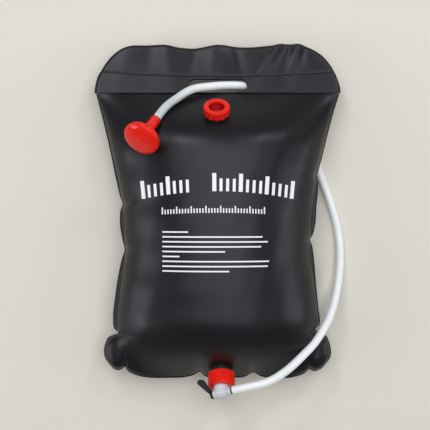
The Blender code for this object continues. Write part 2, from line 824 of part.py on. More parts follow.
def make_plug(plug):
    """Hollow plug, closed at the lever's end, with one side port and two sealed grooves."""
    groove = PLUG_RADIUS - 2 * O_RING_WIRE - GAP
    half = O_RING_WIRE + GAP
    shoulder = -PLUG_SHOULDER
    stem_end = -(MOUTH_REACH + GAP + LEVER_HUB_WALL)
    places = (PLUG_REACH * O_RING_PLACES_SHARES[1], PLUG_SHOULDER * O_RING_PLACES_SHARES[0])
    profile = [
        (PLUG_BORE_RADIUS, PLUG_REACH),
        (PLUG_RADIUS, PLUG_REACH),
    ]
    for place in places:
        profile += [
            (PLUG_RADIUS, place + half),
            (groove, place + half),
            (groove, place - half),
            (PLUG_RADIUS, place - half),
        ]
    profile += [
        (PLUG_RADIUS, shoulder),
        (PLUG_NECK_RADIUS, shoulder),
        (PLUG_NECK_RADIUS, -MOUTH_REACH),
        (PLUG_STEM_RADIUS, -MOUTH_REACH),
        (PLUG_STEM_RADIUS, stem_end),
        (0, stem_end),
    ]
    inner_end = -TAP_PORT_RADIUS - GAP
    profile = [(0, inner_end), (PLUG_BORE_RADIUS, inner_end)] + profile
    piece = turned("tap_plug", profile, "black_plastic", plug)
    port = rod("plug_port", TAP_PORT_RADIUS, 0, PLUG_RADIUS + OVERRUN, plug, STEPS // 2)
    port.rotation_euler = (0, math.radians(-90), 0)
    boolean(piece, port)
    middle = groove + GAP + O_RING_WIRE
    for name, place in zip(("plug_o_ring_inner", "plug_o_ring_outer"), places):
        section = arc(middle, place, O_RING_WIRE, 90, -270, 8)[:-1]
        turned(name, section, "black_rubber", plug, STEPS // 2, closed=True)


def make_lever(plug):
    """Hub on the plug's stem and a flat paddle that flares out past the nut."""
    hub_low = -(MOUTH_REACH + GAP + LEVER_HUB_WALL)
    hub_high = -(MOUTH_REACH + GAP)
    hub = [
        (PLUG_STEM_RADIUS + GAP, hub_high),
        (LEVER_HUB_RADIUS, hub_high),
        (LEVER_HUB_RADIUS, hub_low),
        (PLUG_STEM_RADIUS + GAP, hub_low),
    ]
    lever = turned("tap_lever", hub, "black_plastic", plug, closed=True)
    holder = bpy.data.objects.new("lever_plane", None)
    BAG.objects.link(holder)
    holder.parent = plug
    along = Vector((math.sin(LEVER_LIFT), -math.cos(LEVER_LIFT), 0))
    away = Vector((0, 0, -1))
    sheet = Matrix((along, away, along.cross(away))).transposed()
    holder.matrix_local = Matrix.Translation(away * -(hub_low + hub_high) / 2) @ sheet.to_4x4()
    root = PLUG_STEM_RADIUS + LEVER_ROOT_RADIUS / 2
    flare = math.degrees(LEVER_FLARE)
    heel_y = LEVER_ROOT_RADIUS - LEVER_HUB_WALL / 2
    tip_x = root + LEVER_LENGTH * math.cos(LEVER_FLARE)
    tip_y = heel_y + LEVER_LENGTH * math.sin(LEVER_FLARE)
    lean = math.degrees(math.asin((LEVER_TIP_RADIUS - LEVER_ROOT_RADIUS) / LEVER_LENGTH))
    tip = arc(tip_x, tip_y, LEVER_TIP_RADIUS, flare - 90 - lean, flare + 90 + lean, CORNER_STEPS)
    heel = arc(root, heel_y, LEVER_ROOT_RADIUS, flare + 90 + lean, flare + 270 - lean, 6)
    paddle = flat("lever_paddle", tip + heel, LEVER_WALL, None, holder)
    boolean(lever, paddle, "UNION")
    stem = rod("lever_bore", PLUG_STEM_RADIUS + GAP, hub_low - OVERRUN, hub_high + OVERRUN, plug)
    boolean(lever, stem)


def head_height():
    """Lowest height of the shower head's rim centre at which it clears the film under it."""
    face = Vector(HEAD_AXIS).normalized()
    side = face.cross(Vector((0, 0, 1))).normalized()
    down = side.cross(face)
    circles = ((HEAD_RADIUS, 0), (HEAD_NECK_RADIUS, -HEAD_LENGTH))
    needed = 0
    for radius, along in circles:
        for i in range(STEPS):
            turn = 2 * math.pi * i / STEPS
            around = side * math.cos(turn) + down * math.sin(turn)
            offset = face * along + around * radius
            under = front_face(HEAD_ACROSS + offset.x, HEAD_DOWN - offset.y)
            needed = max(needed, under + HEAD_REST_GAP - offset.z)
    return needed


def make_head():
    """Mushroom-shaped shell with its socket, a seal in it, and the domed rose with its holes."""
    place = (HEAD_ACROSS, shoulder_y() - HEAD_DOWN, head_height())
    axis = frame("head_axis", place, HEAD_AXIS, (1, 0, 0))
    inner = HEAD_RADIUS - HEAD_RIM_WALL
    seat = -SEAL_WALL - ROSE_SKIRT - 2 * GAP
    back = arc(0, 0, 1, 0, 90, HEAD_CURVE_STEPS)
    swell_out = HEAD_RADIUS - HEAD_NECK_RADIUS
    outer = [
        (HEAD_NECK_RADIUS + swell_out * c, -HEAD_BACK * (HEAD_FLARE_SHARE * (1 - s) + s))
        for c, s in back
    ]
    shrink = inner - HEAD_CHANNEL_RADIUS
    depth = HEAD_BACK - HEAD_WALL
    hollow = [
        (HEAD_CHANNEL_RADIUS + shrink * c, seat - (depth + seat) * s) for c, s in reversed(back)
    ]
    socket = HOSE_RADIUS + GAP
    profile = [(inner, 0), (HEAD_RADIUS, 0)] + outer
    profile += [
        (HEAD_NECK_RADIUS, -HEAD_LENGTH),
        (socket, -HEAD_LENGTH),
        (socket, -HEAD_LENGTH + SOCKET_DEPTH),
        (HEAD_CHANNEL_RADIUS, -HEAD_LENGTH + SOCKET_DEPTH),
    ]
    profile += hollow
    turned("head_shell", profile, "red_plastic", axis, closed=True)
    seal_outer = inner - GAP
    seal_low = seat + GAP - SEAL_SINK
    ring(
        "head_seal_ring",
        seal_outer - SEAL_WIDTH,
        seal_outer,
        seal_low,
        seal_low + SEAL_WALL,
        "black_rubber",
        axis,
    )
    make_rose(axis, inner - GAP, seal_low + SEAL_WALL + GAP)
    return axis


def make_rose(axis, skirt, skirt_low):
    """Domed plate over the shell's rim, with its skirt inside it and rings of spray holes."""
    wave = arc(0, 0, 1, 90, 0, HEAD_CURVE_STEPS)
    rim = FILM + GAP
    dome = [(HEAD_RADIUS * c, rim + (ROSE_RISE - rim) * s) for c, s in wave]
    reach = skirt - ROSE_WALL
    under = [(reach * c, (ROSE_RISE - ROSE_WALL) * s) for c, s in reversed(wave)]
    profile = [(0, ROSE_RISE)] + dome[1:]
    profile += [(HEAD_RADIUS, GAP), (skirt, GAP), (skirt, skirt_low), (reach, skirt_low)]
    profile += under[:-1] + [(0, ROSE_RISE - ROSE_WALL)]
    rose = turned("head_rose", profile, "red_plastic", axis)
    work = bmesh.new()
    for count, share in HOLE_RING_SHARES:
        for i in range(count):
            turn = Matrix.Rotation(2 * math.pi * i / count, 4, "Z")
            place = Matrix.Translation((share * reach, 0, ROSE_RISE / 2))
            bmesh.ops.create_cone(
                work,
                cap_ends=True,
                segments=6,
                radius1=HOLE_RADIUS,
                radius2=HOLE_RADIUS,
                depth=2 * ROSE_RISE,
                matrix=turn @ place,
            )
    mesh = bpy.data.meshes.new("rose_holes")
    work.to_mesh(mesh)
    work.free()
    boolean(rose, add("rose_holes", mesh, None, axis))


def through(points, spacing):
    """Points at an even spacing on a smooth curve through the given ones."""
    ends = [points[0] * 2 - points[1]] + points + [points[-1] * 2 - points[-2]]
    fine = []
    for a, b, c, d in zip(ends, ends[1:], ends[2:], ends[3:]):
        for i in range(16):
            t = i / 16
            bend = (2 * a - 5 * b + 4 * c - d) * t**2 + (3 * b - a - 3 * c + d) * t**3
            fine.append(b + (c - a) * t / 2 + bend / 2)
    fine.append(points[-1])
    total = sum((b - a).length for a, b in zip(fine, fine[1:]))
    step = total / round(total / spacing)
    even, walked = [fine[0]], 0
    for a, b in zip(fine, fine[1:]):
        run = (b - a).length
        while walked + run >= step * len(even):
            even.append(a + (b - a) * (step * len(even) - walked) / run)
        walked += run
    if (even[-1] - fine[-1]).length > MERGE:
        even.append(fine[-1])
    return even


def make_hose(plug, head):
    """Hose from the tap's barb, over the bag's corner, under its shoulder and out at the slot."""
    barb = plug.matrix_world
    start = barb @ Vector((0, 0, COLLAR_REACH + BARB_RING_WALL + 2 * GAP))
    leave = barb @ Vector((0, 0, COLLAR_REACH + BARB_RING_WALL + 2 * GAP + HOSE_STRAIGHT))
    neck = head.matrix_world
    end = neck @ Vector((0, 0, -HEAD_LENGTH + SOCKET_DEPTH - GAP))
    arrive = neck @ Vector((0, 0, -HEAD_LENGTH))
    route = [Vector((x, shoulder_y() - down, z)) for x, down, z in HOSE_ROUTE]
    middle = through([leave] + route + [arrive], HOSE_SPACING)
    line = [start] + middle + [end]
    curve = bpy.data.curves.new("hose", "CURVE")
    curve.dimensions = "3D"
    curve.bevel_depth = HOSE_RADIUS
    curve.bevel_resolution = 3
    curve.use_fill_caps = True
    spline = curve.splines.new("POLY")
    spline.points.add(len(line) - 1)
    for point, place in zip(spline.points, line):
        point.co = (*place, 1)
    mesh = as_mesh(curve, "hose")
    mesh.shade_smooth()
    hose = add("hose", mesh, "milky_hose")
    pocket = rod(
        "hose_pocket",
        HOSE_BORE_RADIUS,
        COLLAR_REACH,
        BARB_REACH + GAP,
        plug,
        STEPS // 2,
    )
    boolean(hose, pocket)


start_scene()
make_materials()
SLOT_CUTTER = make_header()
FRONT = make_bag()
make_filler(FRONT)
OUTLET_AXIS = make_outlet(FRONT)
TAP_AXIS, PLUG_AXIS = tap_frames(OUTLET_AXIS)
make_tap_body(TAP_AXIS, PLUG_AXIS)
make_plug(PLUG_AXIS)
make_lever(PLUG_AXIS)
make_hose(PLUG_AXIS, make_head())
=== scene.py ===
"""Looks of a filled camp shower bag that lies on its back, and the plain studio round it.

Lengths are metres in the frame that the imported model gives: +X to the right of someone who looks
down on the bag, +Y towards its header and +Z up. A distance "down" runs from the header's lower
edge to the bag's bottom edge, and "up" runs along the header's sheets from the same edge.
"""

import logging
import math
from collections.abc import Callable, Iterable, Sequence
from dataclasses import dataclass, field
from enum import Enum

import bmesh
import bpy
import numpy as np
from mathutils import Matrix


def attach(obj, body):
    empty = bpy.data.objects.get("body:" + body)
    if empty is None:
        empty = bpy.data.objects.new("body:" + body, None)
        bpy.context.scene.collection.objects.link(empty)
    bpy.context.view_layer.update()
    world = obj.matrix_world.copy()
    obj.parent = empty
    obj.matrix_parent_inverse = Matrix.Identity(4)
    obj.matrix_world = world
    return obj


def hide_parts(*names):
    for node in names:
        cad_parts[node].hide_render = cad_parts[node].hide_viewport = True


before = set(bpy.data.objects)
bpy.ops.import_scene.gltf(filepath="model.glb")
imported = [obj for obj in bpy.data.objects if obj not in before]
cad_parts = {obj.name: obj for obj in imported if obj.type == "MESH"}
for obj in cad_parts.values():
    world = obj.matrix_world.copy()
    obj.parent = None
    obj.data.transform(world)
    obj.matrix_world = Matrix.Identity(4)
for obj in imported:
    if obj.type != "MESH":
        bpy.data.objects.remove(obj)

Array = np.ndarray
Colour = tuple[float, float, float]
Point = tuple[float, float, float]
Table = tuple[tuple[float, float], ...]
Height = Callable[[Array, Array], Array]
Mesh = bpy.types.Mesh
Piece = bpy.types.Object
Material = bpy.types.Material
Grip = Callable[[Array, Array, Array], Array]

LOG = logging.getLogger("camp_shower_bag")
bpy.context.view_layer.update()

# Play between neighbouring pieces, and thickness of the film
GAP = 0.0003
FILM = 0.0008
# Y of the header's lower edge, and width of the band along a rim where the film's painted sheen and
# dark welt come in
SHOULDER_Y = 0.198036
EDGE_REACH = 0.030
# Points nearer than this merge, and an edge between faces that turn more than this stays sharp
MERGE = 0.000002
SHARP = math.radians(38)
# Points on each rounded corner of a profile, and the share of a short side that it may take
CORNER_POINTS = 5
CORNER_SHARE = 0.45
# How sharply a rise bends where it levels off
BEND = 7


class Body(str, Enum):
    """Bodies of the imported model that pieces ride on."""

    BAG = "bag"
    CAP = "cap"
    NUT = "nut"
    TAP_VALVE = "tap_valve"


# Reading tables and profiles


def smooth_read(table: Table, at: Array) -> Array:
    """Read a table of (place, value) rows with a smooth curve through its rows.

    Cubic Hermite: between two rows the value is h00 a + h10 m a' + h01 b + h11 m b', where the
    slopes a' and b' are the rows' central differences.

    Args:
        table: Rows in rising order of place.
        at: Places to read it at; those outside it read its end rows.

    Returns:
        One value for each place.
    """
    rows = np.asarray(table, float)
    x, y = rows[:, 0], rows[:, 1]
    slope = np.gradient(y, x)
    spot = np.clip(at, x[0], x[-1])
    i = np.clip(np.searchsorted(x, spot, side="right") - 1, 0, len(x) - 2)
    run = x[i + 1] - x[i]
    t = (spot - x[i]) / run
    start = (1 + 2 * t) * (1 - t) ** 2 * y[i] + t * (1 - t) ** 2 * run * slope[i]
    return start + t**2 * (3 - 2 * t) * y[i + 1] + t**2 * (t - 1) * run * slope[i + 1]


def ease(share: Array) -> Array:
    """Rise from 0 to 1 as 3t^2 - 2t^3, level at both ends."""
    t = np.clip(share, 0.0, 1.0)
    return t * t * (3 - 2 * t)


def level_off(share: Array) -> Array:
    """Grow with the share and level off softly at one: 1 - ln(1 + e^(b - b share)) / b."""
    return np.clip(1 - np.logaddexp(0, BEND - BEND * share) / BEND, 0, 1)


def hump(offset: Array, width: Array | float) -> Array:
    """Bell of height one: exp(-(offset / width)^2)."""
    return np.exp(-((offset / width) ** 2))


def rounded(corners: Sequence[tuple[float, float]], radius: float, closed: bool = False) -> Array:
    """Round the corners of a profile.

    Each corner p becomes the curve (1-t)^2 a + 2t(1-t) p + t^2 b, where a and b lie on its two
    sides at the radius from it, or at a share of a shorter side.

    Args:
        corners: (radius, height) points.
        radius: Distance from a corner to where its rounding starts.
        closed: Whether the last point joins the first; otherwise the two ends stay sharp.

    Returns:
        Array of (radius, height) points.
    """
    p = np.asarray(corners, float)
    before, after = np.roll(p, 1, axis=0) - p, np.roll(p, -1, axis=0) - p
    near = np.linalg.norm(before, axis=1, keepdims=True)
    far = np.linalg.norm(after, axis=1, keepdims=True)
    reach = np.minimum(radius, CORNER_SHARE * np.minimum(near, far))
    a, b = p + before / near * reach, p + after / far * reach
    t = np.linspace(0, 1, CORNER_POINTS)[None, :, None]
    curve = (1 - t) ** 2 * a[:, None] + 2 * t * (1 - t) * p[:, None] + t**2 * b[:, None]
    if closed:
        return curve.reshape(-1, 2)
    return np.concatenate((p[:1], curve[1:-1].reshape(-1, 2), p[-1:]))


def rod(radius: float, high: float, low: float) -> Array:
    """Profile of a plain rod between two heights."""
    return np.array(((0, high), (radius, high), (radius, low), (0, low)))


def whole_turn(steps: int) -> Array:
    """Evenly spaced angles of a whole turn."""
    return np.linspace(0, 2 * math.pi, steps, endpoint=False)


def quarter_turn(steps: int) -> tuple[Array, Array]:
    """Sine and cosine of evenly spaced angles from 0 to 90 degrees."""
    angle = np.linspace(0, math.pi / 2, steps)
    return np.sin(angle), np.cos(angle)


# Surfaces and meshes


@dataclass(frozen=True)
class Axis:
    """Place and turn of a fitting: its origin and its own X and Z directions."""

    origin: Point
    x: Point
    z: Point

    def place(self, points: Array) -> Array:
        """Carry points drawn about this axis into the shared frame.

        Args:
            points: Array (..., 3) in the axis's own X, Y and Z.

        Returns:
            The same array in the shared frame: origin + x X + y Y + z Z.
        """
        return np.asarray(self.origin) + points @ self.directions()

    def local(self, points: Array) -> Array:
        """Carry points (..., 3) of the shared frame back into the axis's own X, Y and Z."""
        return (points - np.asarray(self.origin)) @ self.directions().T

    def directions(self) -> Array:
        """Own directions of the axis: Y is Z crossed with the given X, and X is Y crossed with Z.

        Returns:
            X, Y and Z as the rows of an array (3, 3).
        """
        z = np.asarray(self.z) / np.linalg.norm(self.z)
        y = np.cross(z, self.x)
        y /= np.linalg.norm(y)
        return np.stack((np.cross(y, z), y, z))


def turned(profile: Array, steps: int, grip: Grip | None = None) -> Array:
    """Surface of revolution (r cos a, r sin a, h) over the profile (r, h) and the angle a.

    Args:
        profile: Array (n, 2) of radius and height.
        steps: Points round a turn.
        grip: Gives the radius to use from the radius, height and angle arrays.

    Returns:
        Array (n, steps, 3).
    """
    angle = whole_turn(steps)[None, :]
    radius = np.repeat(profile[:, :1], steps, axis=1)
    height = np.repeat(profile[:, 1:], steps, axis=1)
    if grip is not None:
        radius = grip(radius, height, angle)
    return np.stack((radius * np.cos(angle), radius * np.sin(angle), height), axis=-1)


def swept(path: Array, sections: Array) -> Array:
    """Carry a section along a path: point = path + p side + q upright.

    The side direction is the tangent crossed with +Z, and upright is the side crossed with the
    tangent, so the section never rolls.

    Args:
        path: Array (n, 3) of points, nowhere vertical.
        sections: Array (n, m, 2) of section points (p, q), one section for each path point.

    Returns:
        Array (n, m, 3).
    """
    tangent = np.gradient(path, axis=0)
    tangent /= np.linalg.norm(tangent, axis=1, keepdims=True)
    side = np.cross(tangent, (0.0, 0.0, 1.0))
    side /= np.linalg.norm(side, axis=1, keepdims=True)
    upright = np.cross(side, tangent)
    across, up = sections[..., :1], sections[..., 1:]
    return path[:, None] + across * side[:, None] + up * upright[:, None]


def make_mesh(
    name: str, points: Array, wrap_rows: bool = False, wrap_columns: bool = False
) -> Mesh:
    """Mesh of quads over a grid of points.

    Args:
        name: Name of the mesh.
        points: Array (rows, columns, 3).
        wrap_rows: Whether the last row joins the first.
        wrap_columns: Whether the last column joins the first.

    Returns:
        The mesh, smooth shaded.
    """
    rows, columns = points.shape[:2]
    i = np.arange(rows if wrap_rows else rows - 1)[:, None]
    j = np.arange(columns if wrap_columns else columns - 1)[None, :]
    i_next, j_next = (i + 1) % rows, (j + 1) % columns
    near, far = i * columns, i_next * columns
    turns = np.broadcast_arrays(near + j, near + j_next, far + j_next, far + j)
    quads = np.stack(turns, axis=-1).reshape(-1, 4)
    mesh = bpy.data.meshes.new(name)
    mesh.vertices.add(rows * columns)
    mesh.vertices.foreach_set("co", points.astype(np.float32).ravel())
    mesh.loops.add(quads.size)
    mesh.loops.foreach_set("vertex_index", quads.astype(np.int32).ravel())
    mesh.polygons.add(len(quads))
    mesh.polygons.foreach_set("loop_start", np.arange(0, quads.size, 4, dtype=np.int32))
    mesh.update(calc_edges=True)
    mesh.shade_smooth()
    return mesh


def mark(mesh: Mesh, name: str, values: Array) -> None:
    """Store one number for each point of a mesh, for its material to read."""
    layer = mesh.attributes.new(name, "FLOAT", "POINT")
    layer.data.foreach_set("value", values.astype(np.float32).ravel())


def corners(mesh: Mesh) -> Array:
    """Read the points of a mesh.

    Args:
        mesh: The mesh.

    Returns:
        Array (n, 3).
    """
    flat = np.empty(3 * len(mesh.vertices), np.float32)
    mesh.vertices.foreach_get("co", flat)
    return flat.reshape(-1, 3).astype(float)


def merge(mesh: Mesh, face_out: bool = True) -> None:
    """Merge the doubled points of a surface.

    Args:
        mesh: The surface.
        face_out: Whether to turn its faces outwards too.
    """
    work = bmesh.new()
    work.from_mesh(mesh)
    bmesh.ops.remove_doubles(work, verts=work.verts, dist=MERGE)
    if face_out:
        bmesh.ops.recalc_face_normals(work, faces=work.faces)
    work.to_mesh(mesh)
    work.free()


def face_up(mesh: Mesh, side: float = 1.0) -> None:
    """Turn a sheet's faces up or down.

    Args:
        mesh: The sheet.
        side: 1 for up, -1 for down.
    """
    mesh.update()
    normals = np.empty(3 * len(mesh.polygons), np.float32)
    mesh.polygons.foreach_get("normal", normals)
    if normals.reshape(-1, 3)[:, 2].sum() * side < 0:
        mesh.flip_normals()


def keep_sharp(mesh: Mesh) -> None:
    """Shade a mesh smooth but for its sharp edges."""
    mesh.shade_smooth()
    mesh.set_sharp_from_angle(angle=SHARP)


def make_object(name: str, mesh: Mesh) -> Piece:
    """Object at the origin for a mesh.

    Args:
        name: Its name.
        mesh: The mesh.

    Returns:
        The object.
    """
    made = bpy.data.objects.new(name, mesh)
    bpy.context.scene.collection.objects.link(made)
    return made


def solid(name: str, points: Array, wrap_rows: bool = False) -> Piece:
    """Closed piece over a grid whose columns go round, with its poles merged.

    Args:
        name: Its name.
        points: Array (rows, columns, 3).
        wrap_rows: Whether the last row joins the first.

    Returns:
        The piece.
    """
    mesh = make_mesh(name, points, wrap_rows, wrap_columns=True)
    merge(mesh)
    keep_sharp(mesh)
    return make_object(name, mesh)


def lathe(
    name: str,
    axis: Axis,
    profile: Array,
    steps: int = 64,
    closed: bool = False,
    grip: Grip | None = None,
) -> Piece:
    """Piece turned about a fitting's axis.

    Args:
        name: Its name.
        axis: The axis.
        profile: Array (n, 2) of radius and height.
        steps: Points round a turn.
        closed: Whether the profile's last point joins its first.
        grip: Gives the radius to use from the radius, height and angle arrays.

    Returns:
        The piece.
    """
    return solid(name, axis.place(turned(profile, steps, grip)), wrap_rows=closed)


def joined(name: str, grids: Iterable[Array], wrap_columns: bool = False) -> Mesh:
    """One mesh over several grids of points.

    Args:
        name: Name of the mesh.
        grids: Arrays (rows, columns, 3).
        wrap_columns: Whether each grid's last column joins its first.

    Returns:
        The mesh, with its doubled points merged.
    """
    work = bmesh.new()
    for grid in grids:
        part = make_mesh("part", grid, wrap_columns=wrap_columns)
        work.from_mesh(part)
        bpy.data.meshes.remove(part)
    mesh = bpy.data.meshes.new(name)
    work.to_mesh(mesh)
    work.free()
    merge(mesh)
    return mesh


def combine(
    target: Piece, tools: Sequence[Piece], operation: str = "DIFFERENCE"
) -> None:
    """Cut tools out of a piece or join them to it, and keep the result as its mesh.

    Args:
        target: Piece to change.
        tools: Closed shapes, removed afterwards.
        operation: DIFFERENCE or UNION.
    """
    for tool in tools:
        step = target.modifiers.new(tool.name, "BOOLEAN")
        step.operation = operation
        step.object = tool
    bake_modifiers(target)
    for tool in tools:
        bpy.data.objects.remove(tool, do_unlink=True)


def bake_modifiers(piece: Piece) -> None:
    """Replace a piece's mesh by what its modifiers make of it.

    Args:
        piece: The piece.
    """
    bpy.context.view_layer.update()
    seen = piece.evaluated_get(bpy.context.evaluated_depsgraph_get())
    made = bpy.data.meshes.new_from_object(seen)
    piece.modifiers.clear()
    old = piece.data
    piece.data = made
    bpy.data.meshes.remove(old)
    keep_sharp(made)


def thicken(piece: Piece, wall: float, offset: float) -> None:
    """Give an open sheet its wall.

    Args:
        piece: The sheet.
        wall: Thickness.
        offset: 1 for a wall on the side that its faces look to, -1 for the other, 0 for both.
    """
    step = piece.modifiers.new("wall", "SOLIDIFY")
    step.thickness = wall
    step.offset = offset
    bake_modifiers(piece)
    merge(piece.data)


# Shader arithmetic


class Wire:
    """An output socket of a material that takes part in Python arithmetic."""

    def __init__(self, tree: "Tree", socket: bpy.types.NodeSocket) -> None:
        """Hold a socket and the tree that it belongs to."""
        self.tree = tree
        self.socket = socket

    def _math(self, operation: str, first: "Value", second: "Value") -> "Wire":
        """Add one Math node for two values."""
        made = self.tree.node("ShaderNodeMath", {"operation": operation}, {0: first, 1: second})
        return Wire(self.tree, made.outputs[0])

    def __add__(self, other: "Value") -> "Wire":
        """Sum."""
        return self._math("ADD", self, other)

    def __radd__(self, other: "Value") -> "Wire":
        """Sum, with the number first."""
        return self._math("ADD", other, self)

    def __sub__(self, other: "Value") -> "Wire":
        """Difference."""
        return self._math("SUBTRACT", self, other)

    def __mul__(self, other: "Value") -> "Wire":
        """Product."""
        return self._math("MULTIPLY", self, other)

    def between(self, low: float, high: float) -> "Wire":
        """Share from 0 at the low value to 1 at the high one, eased at both ends."""
        made = self.tree.node(
            "ShaderNodeMapRange",
            {"interpolation_type": "SMOOTHSTEP"},
            {"Value": self, "From Min": low, "From Max": high},
        )
        return Wire(self.tree, made.outputs[0])


Value = Wire | float | tuple[float, ...]


class Tree:
    """Nodes of one material, built round its Principled shader."""

    def __init__(self, name: str) -> None:
        """Make the material.

        Args:
            name: Its name.
        """
        self.material = bpy.data.materials.new(name)
        self.material.use_nodes = True
        self.nodes = self.material.node_tree.nodes
        self.links = self.material.node_tree.links
        self.shader = self.nodes["Principled BSDF"]

    def feed(self, socket: bpy.types.NodeSocket, value: Value) -> None:
        """Link a wire to a socket, or set the socket.

        Args:
            socket: The socket.
            value: A wire, number or colour.
        """
        if isinstance(value, Wire):
            self.links.new(value.socket, socket)
        elif isinstance(value, tuple) and socket.type == "RGBA":
            socket.default_value = (*value[:3], 1.0)
        else:
            socket.default_value = value

    def node(
        self, kind: str, settings: dict[str, object], inputs: dict[str | int, Value]
    ) -> bpy.types.Node:
        """Add one node.

        Args:
            kind: The node's type.
            settings: Its own settings, set first.
            inputs: Values or wires by the socket's name or number.

        Returns:
            The node.
        """
        made = self.nodes.new(kind)
        for key, value in settings.items():
            setattr(made, key, value)
        for key, value in inputs.items():
            self.feed(made.inputs[key], value)
        return made

    def out(self, node: bpy.types.Node, name: str | int = 0) -> Wire:
        """Wire of a node's output."""
        return Wire(self, node.outputs[name])

    def place(self) -> Wire:
        """Object coordinates, in metres."""
        return self.out(self.node("ShaderNodeTexCoord", {}, {}), "Object")

    def noise(self, scale: float, detail: float, at: Wire | None = None) -> Wire:
        """Noise from 0 to 1.

        Args:
            scale: Cells per metre.
            detail: Octaves.
            at: Coordinates; the object's own where left out.

        Returns:
            The noise as a wire.
        """
        inputs = {"Vector": at or self.place(), "Scale": scale, "Detail": detail}
        return self.out(self.node("ShaderNodeTexNoise", {}, inputs))

    def stretched(self, scale: Point) -> Wire:
        """Object coordinates, scaled along each direction."""
        made = self.node("ShaderNodeMapping", {}, {"Vector": self.place(), "Scale": scale})
        return self.out(made)

    def attribute(self, name: str) -> Wire:
        """A number that the mesh holds for each point."""
        return self.out(self.node("ShaderNodeAttribute", {"attribute_name": name}, {}), "Fac")

    def tint(self, share: Value, low: Colour | Wire, high: Colour | Wire) -> Wire:
        """Mix two colours by a share."""
        made = self.node("ShaderNodeMix", {"data_type": "RGBA"}, {0: share, 6: low, 7: high})
        return self.out(made, 2)

    def bump(self, height: Wire, strength: float, distance: float) -> Wire:
        """Normal that follows a height."""
        inputs = {"Strength": strength, "Distance": distance, "Height": height}
        return self.out(self.node("ShaderNodeBump", {}, inputs))

    def finish(
        self, colour: Value, roughness: Value, normal: Wire, constants: dict[str, Value]
    ) -> Material:
        """Feed the shader.

        Args:
            colour: Base colour.
            roughness: Roughness.
            normal: Bumped normal.
            constants: Values for other sockets, the same all over.

        Returns:
            The material.
        """
        fed = {"Base Color": colour, "Roughness": roughness, "Normal": normal, **constants}
        for key, value in fed.items():
            self.feed(self.shader.inputs[key], value)
        return self.material


# Finishes


@dataclass(frozen=True)
class FilmFinish:
    """Soft black PVC film: satin, finely grained, faintly clouded, with painted sheen at its rim.

    Clouds, grain and crinkles are cells per metre of noise; the two bands are shares of the way
    to the rim, over which its painted brownish sheen and its dark welt come in. Welds and the
    welt are rougher than the film by the amounts given.
    """

    name: str = "black_film"
    dark: Colour = (0.0045, 0.0044, 0.0052)
    light: Colour = (0.0080, 0.0078, 0.0094)
    # Brownish colour of the painted sheen towards the rim
    edge: Colour = (0.0290, 0.0262, 0.0196)
    line: Colour = (0.0012, 0.0012, 0.0012)
    roughness: float = 0.37
    specular: float = 0.35
    tint: Colour = (0.93, 0.92, 1.0)
    clouds: float = 16.0
    grain: float = 1400.0
    crinkles: float = 90.0
    sheen_band: tuple[float, float] = (0.62, 0.90)
    welt_band: tuple[float, float] = (0.905, 0.945)
    sheen_share: float = 0.7
    weld_rough: float = 0.20
    welt_rough: float = 0.30
    cloud_rough: float = 0.12
    grain_rough: float = 0.10
    grain_height: float = 0.35
    crinkle_height: float = 0.9
    weld_depth: float = 1.5
    relief: float = 0.28
    relief_height: float = 0.00025

    def material(self) -> Material:
        """Make the material; the attributes edge and weld mark the film's rim and its welds.

        Returns:
            The material.
        """
        tree = Tree(self.name)
        cloud = tree.noise(self.clouds, 3.0)
        fine = tree.noise(self.grain, 2.0)
        crinkle = tree.noise(self.crinkles, 3.0)
        rim = tree.attribute("edge")
        weld = tree.attribute("weld")
        welt = rim.between(*self.welt_band)
        colour = tree.tint(cloud, self.dark, self.light)
        # Painted sheen: a brownish tint that grows towards the rim
        colour = tree.tint(rim.between(*self.sheen_band) * self.sheen_share, colour, self.edge)
        colour = tree.tint(welt, colour, self.line)
        colour = tree.tint(weld, colour, self.line)
        rough = self.roughness + (cloud - 0.5) * self.cloud_rough
        rough = rough + (fine - 0.5) * self.grain_rough
        rough = rough + weld * self.weld_rough + welt * self.welt_rough
        height = fine * self.grain_height + crinkle * self.crinkle_height
        height = height - weld * self.weld_depth
        normal = tree.bump(height, self.relief, self.relief_height)
        constants = {"Specular IOR Level": self.specular, "Specular Tint": self.tint}
        return tree.finish(colour, rough, normal, constants)


@dataclass(frozen=True)
class MouldedFinish:
    """Moulded plastic: a little mottled, with fine pits and a gloss of its own.

    Mottle and grain are cells per metre of noise; an optional dark colour of painted shade tints
    what the mesh marks so.
    """

    name: str
    colour: Colour
    shade: Colour
    roughness: float
    pits: float
    mottle: float = 70.0
    grain: float = 700.0
    transmission: float = 0.0
    subsurface: float = 0.0
    specular: float = 0.5
    painted_shade: Colour | None = None
    mottle_rough: float = 0.10
    grain_rough: float = 0.08
    mottle_height: float = 0.8
    grain_height: float = 0.6
    relief_height: float = 0.0002
    scatter: Point = (0.004, 0.003, 0.002)
    scatter_scale: float = 0.6

    def material(self) -> Material:
        """Make the material.

        Returns:
            The material.
        """
        tree = Tree(self.name)
        mottle = tree.noise(self.mottle, 3.0)
        fine = tree.noise(self.grain, 3.0)
        colour = tree.tint(mottle, self.shade, self.colour)
        # Painted shade: the optional dark colour comes in where the mesh marks it
        if self.painted_shade:
            colour = tree.tint(tree.attribute("painted_shade"), colour, self.painted_shade)
        rough = self.roughness + (mottle - 0.5) * self.mottle_rough
        rough = rough + (fine - 0.5) * self.grain_rough
        height = fine * self.grain_height + mottle * self.mottle_height
        normal = tree.bump(height, self.pits, self.relief_height)
        constants = {
            "Transmission Weight": self.transmission,
            "Subsurface Weight": self.subsurface,
            "Specular IOR Level": self.specular,
        }
        if self.subsurface:
            constants["Subsurface Radius"] = self.scatter
            constants["Subsurface Scale"] = self.scatter_scale
        return tree.finish(colour, rough, normal, constants)


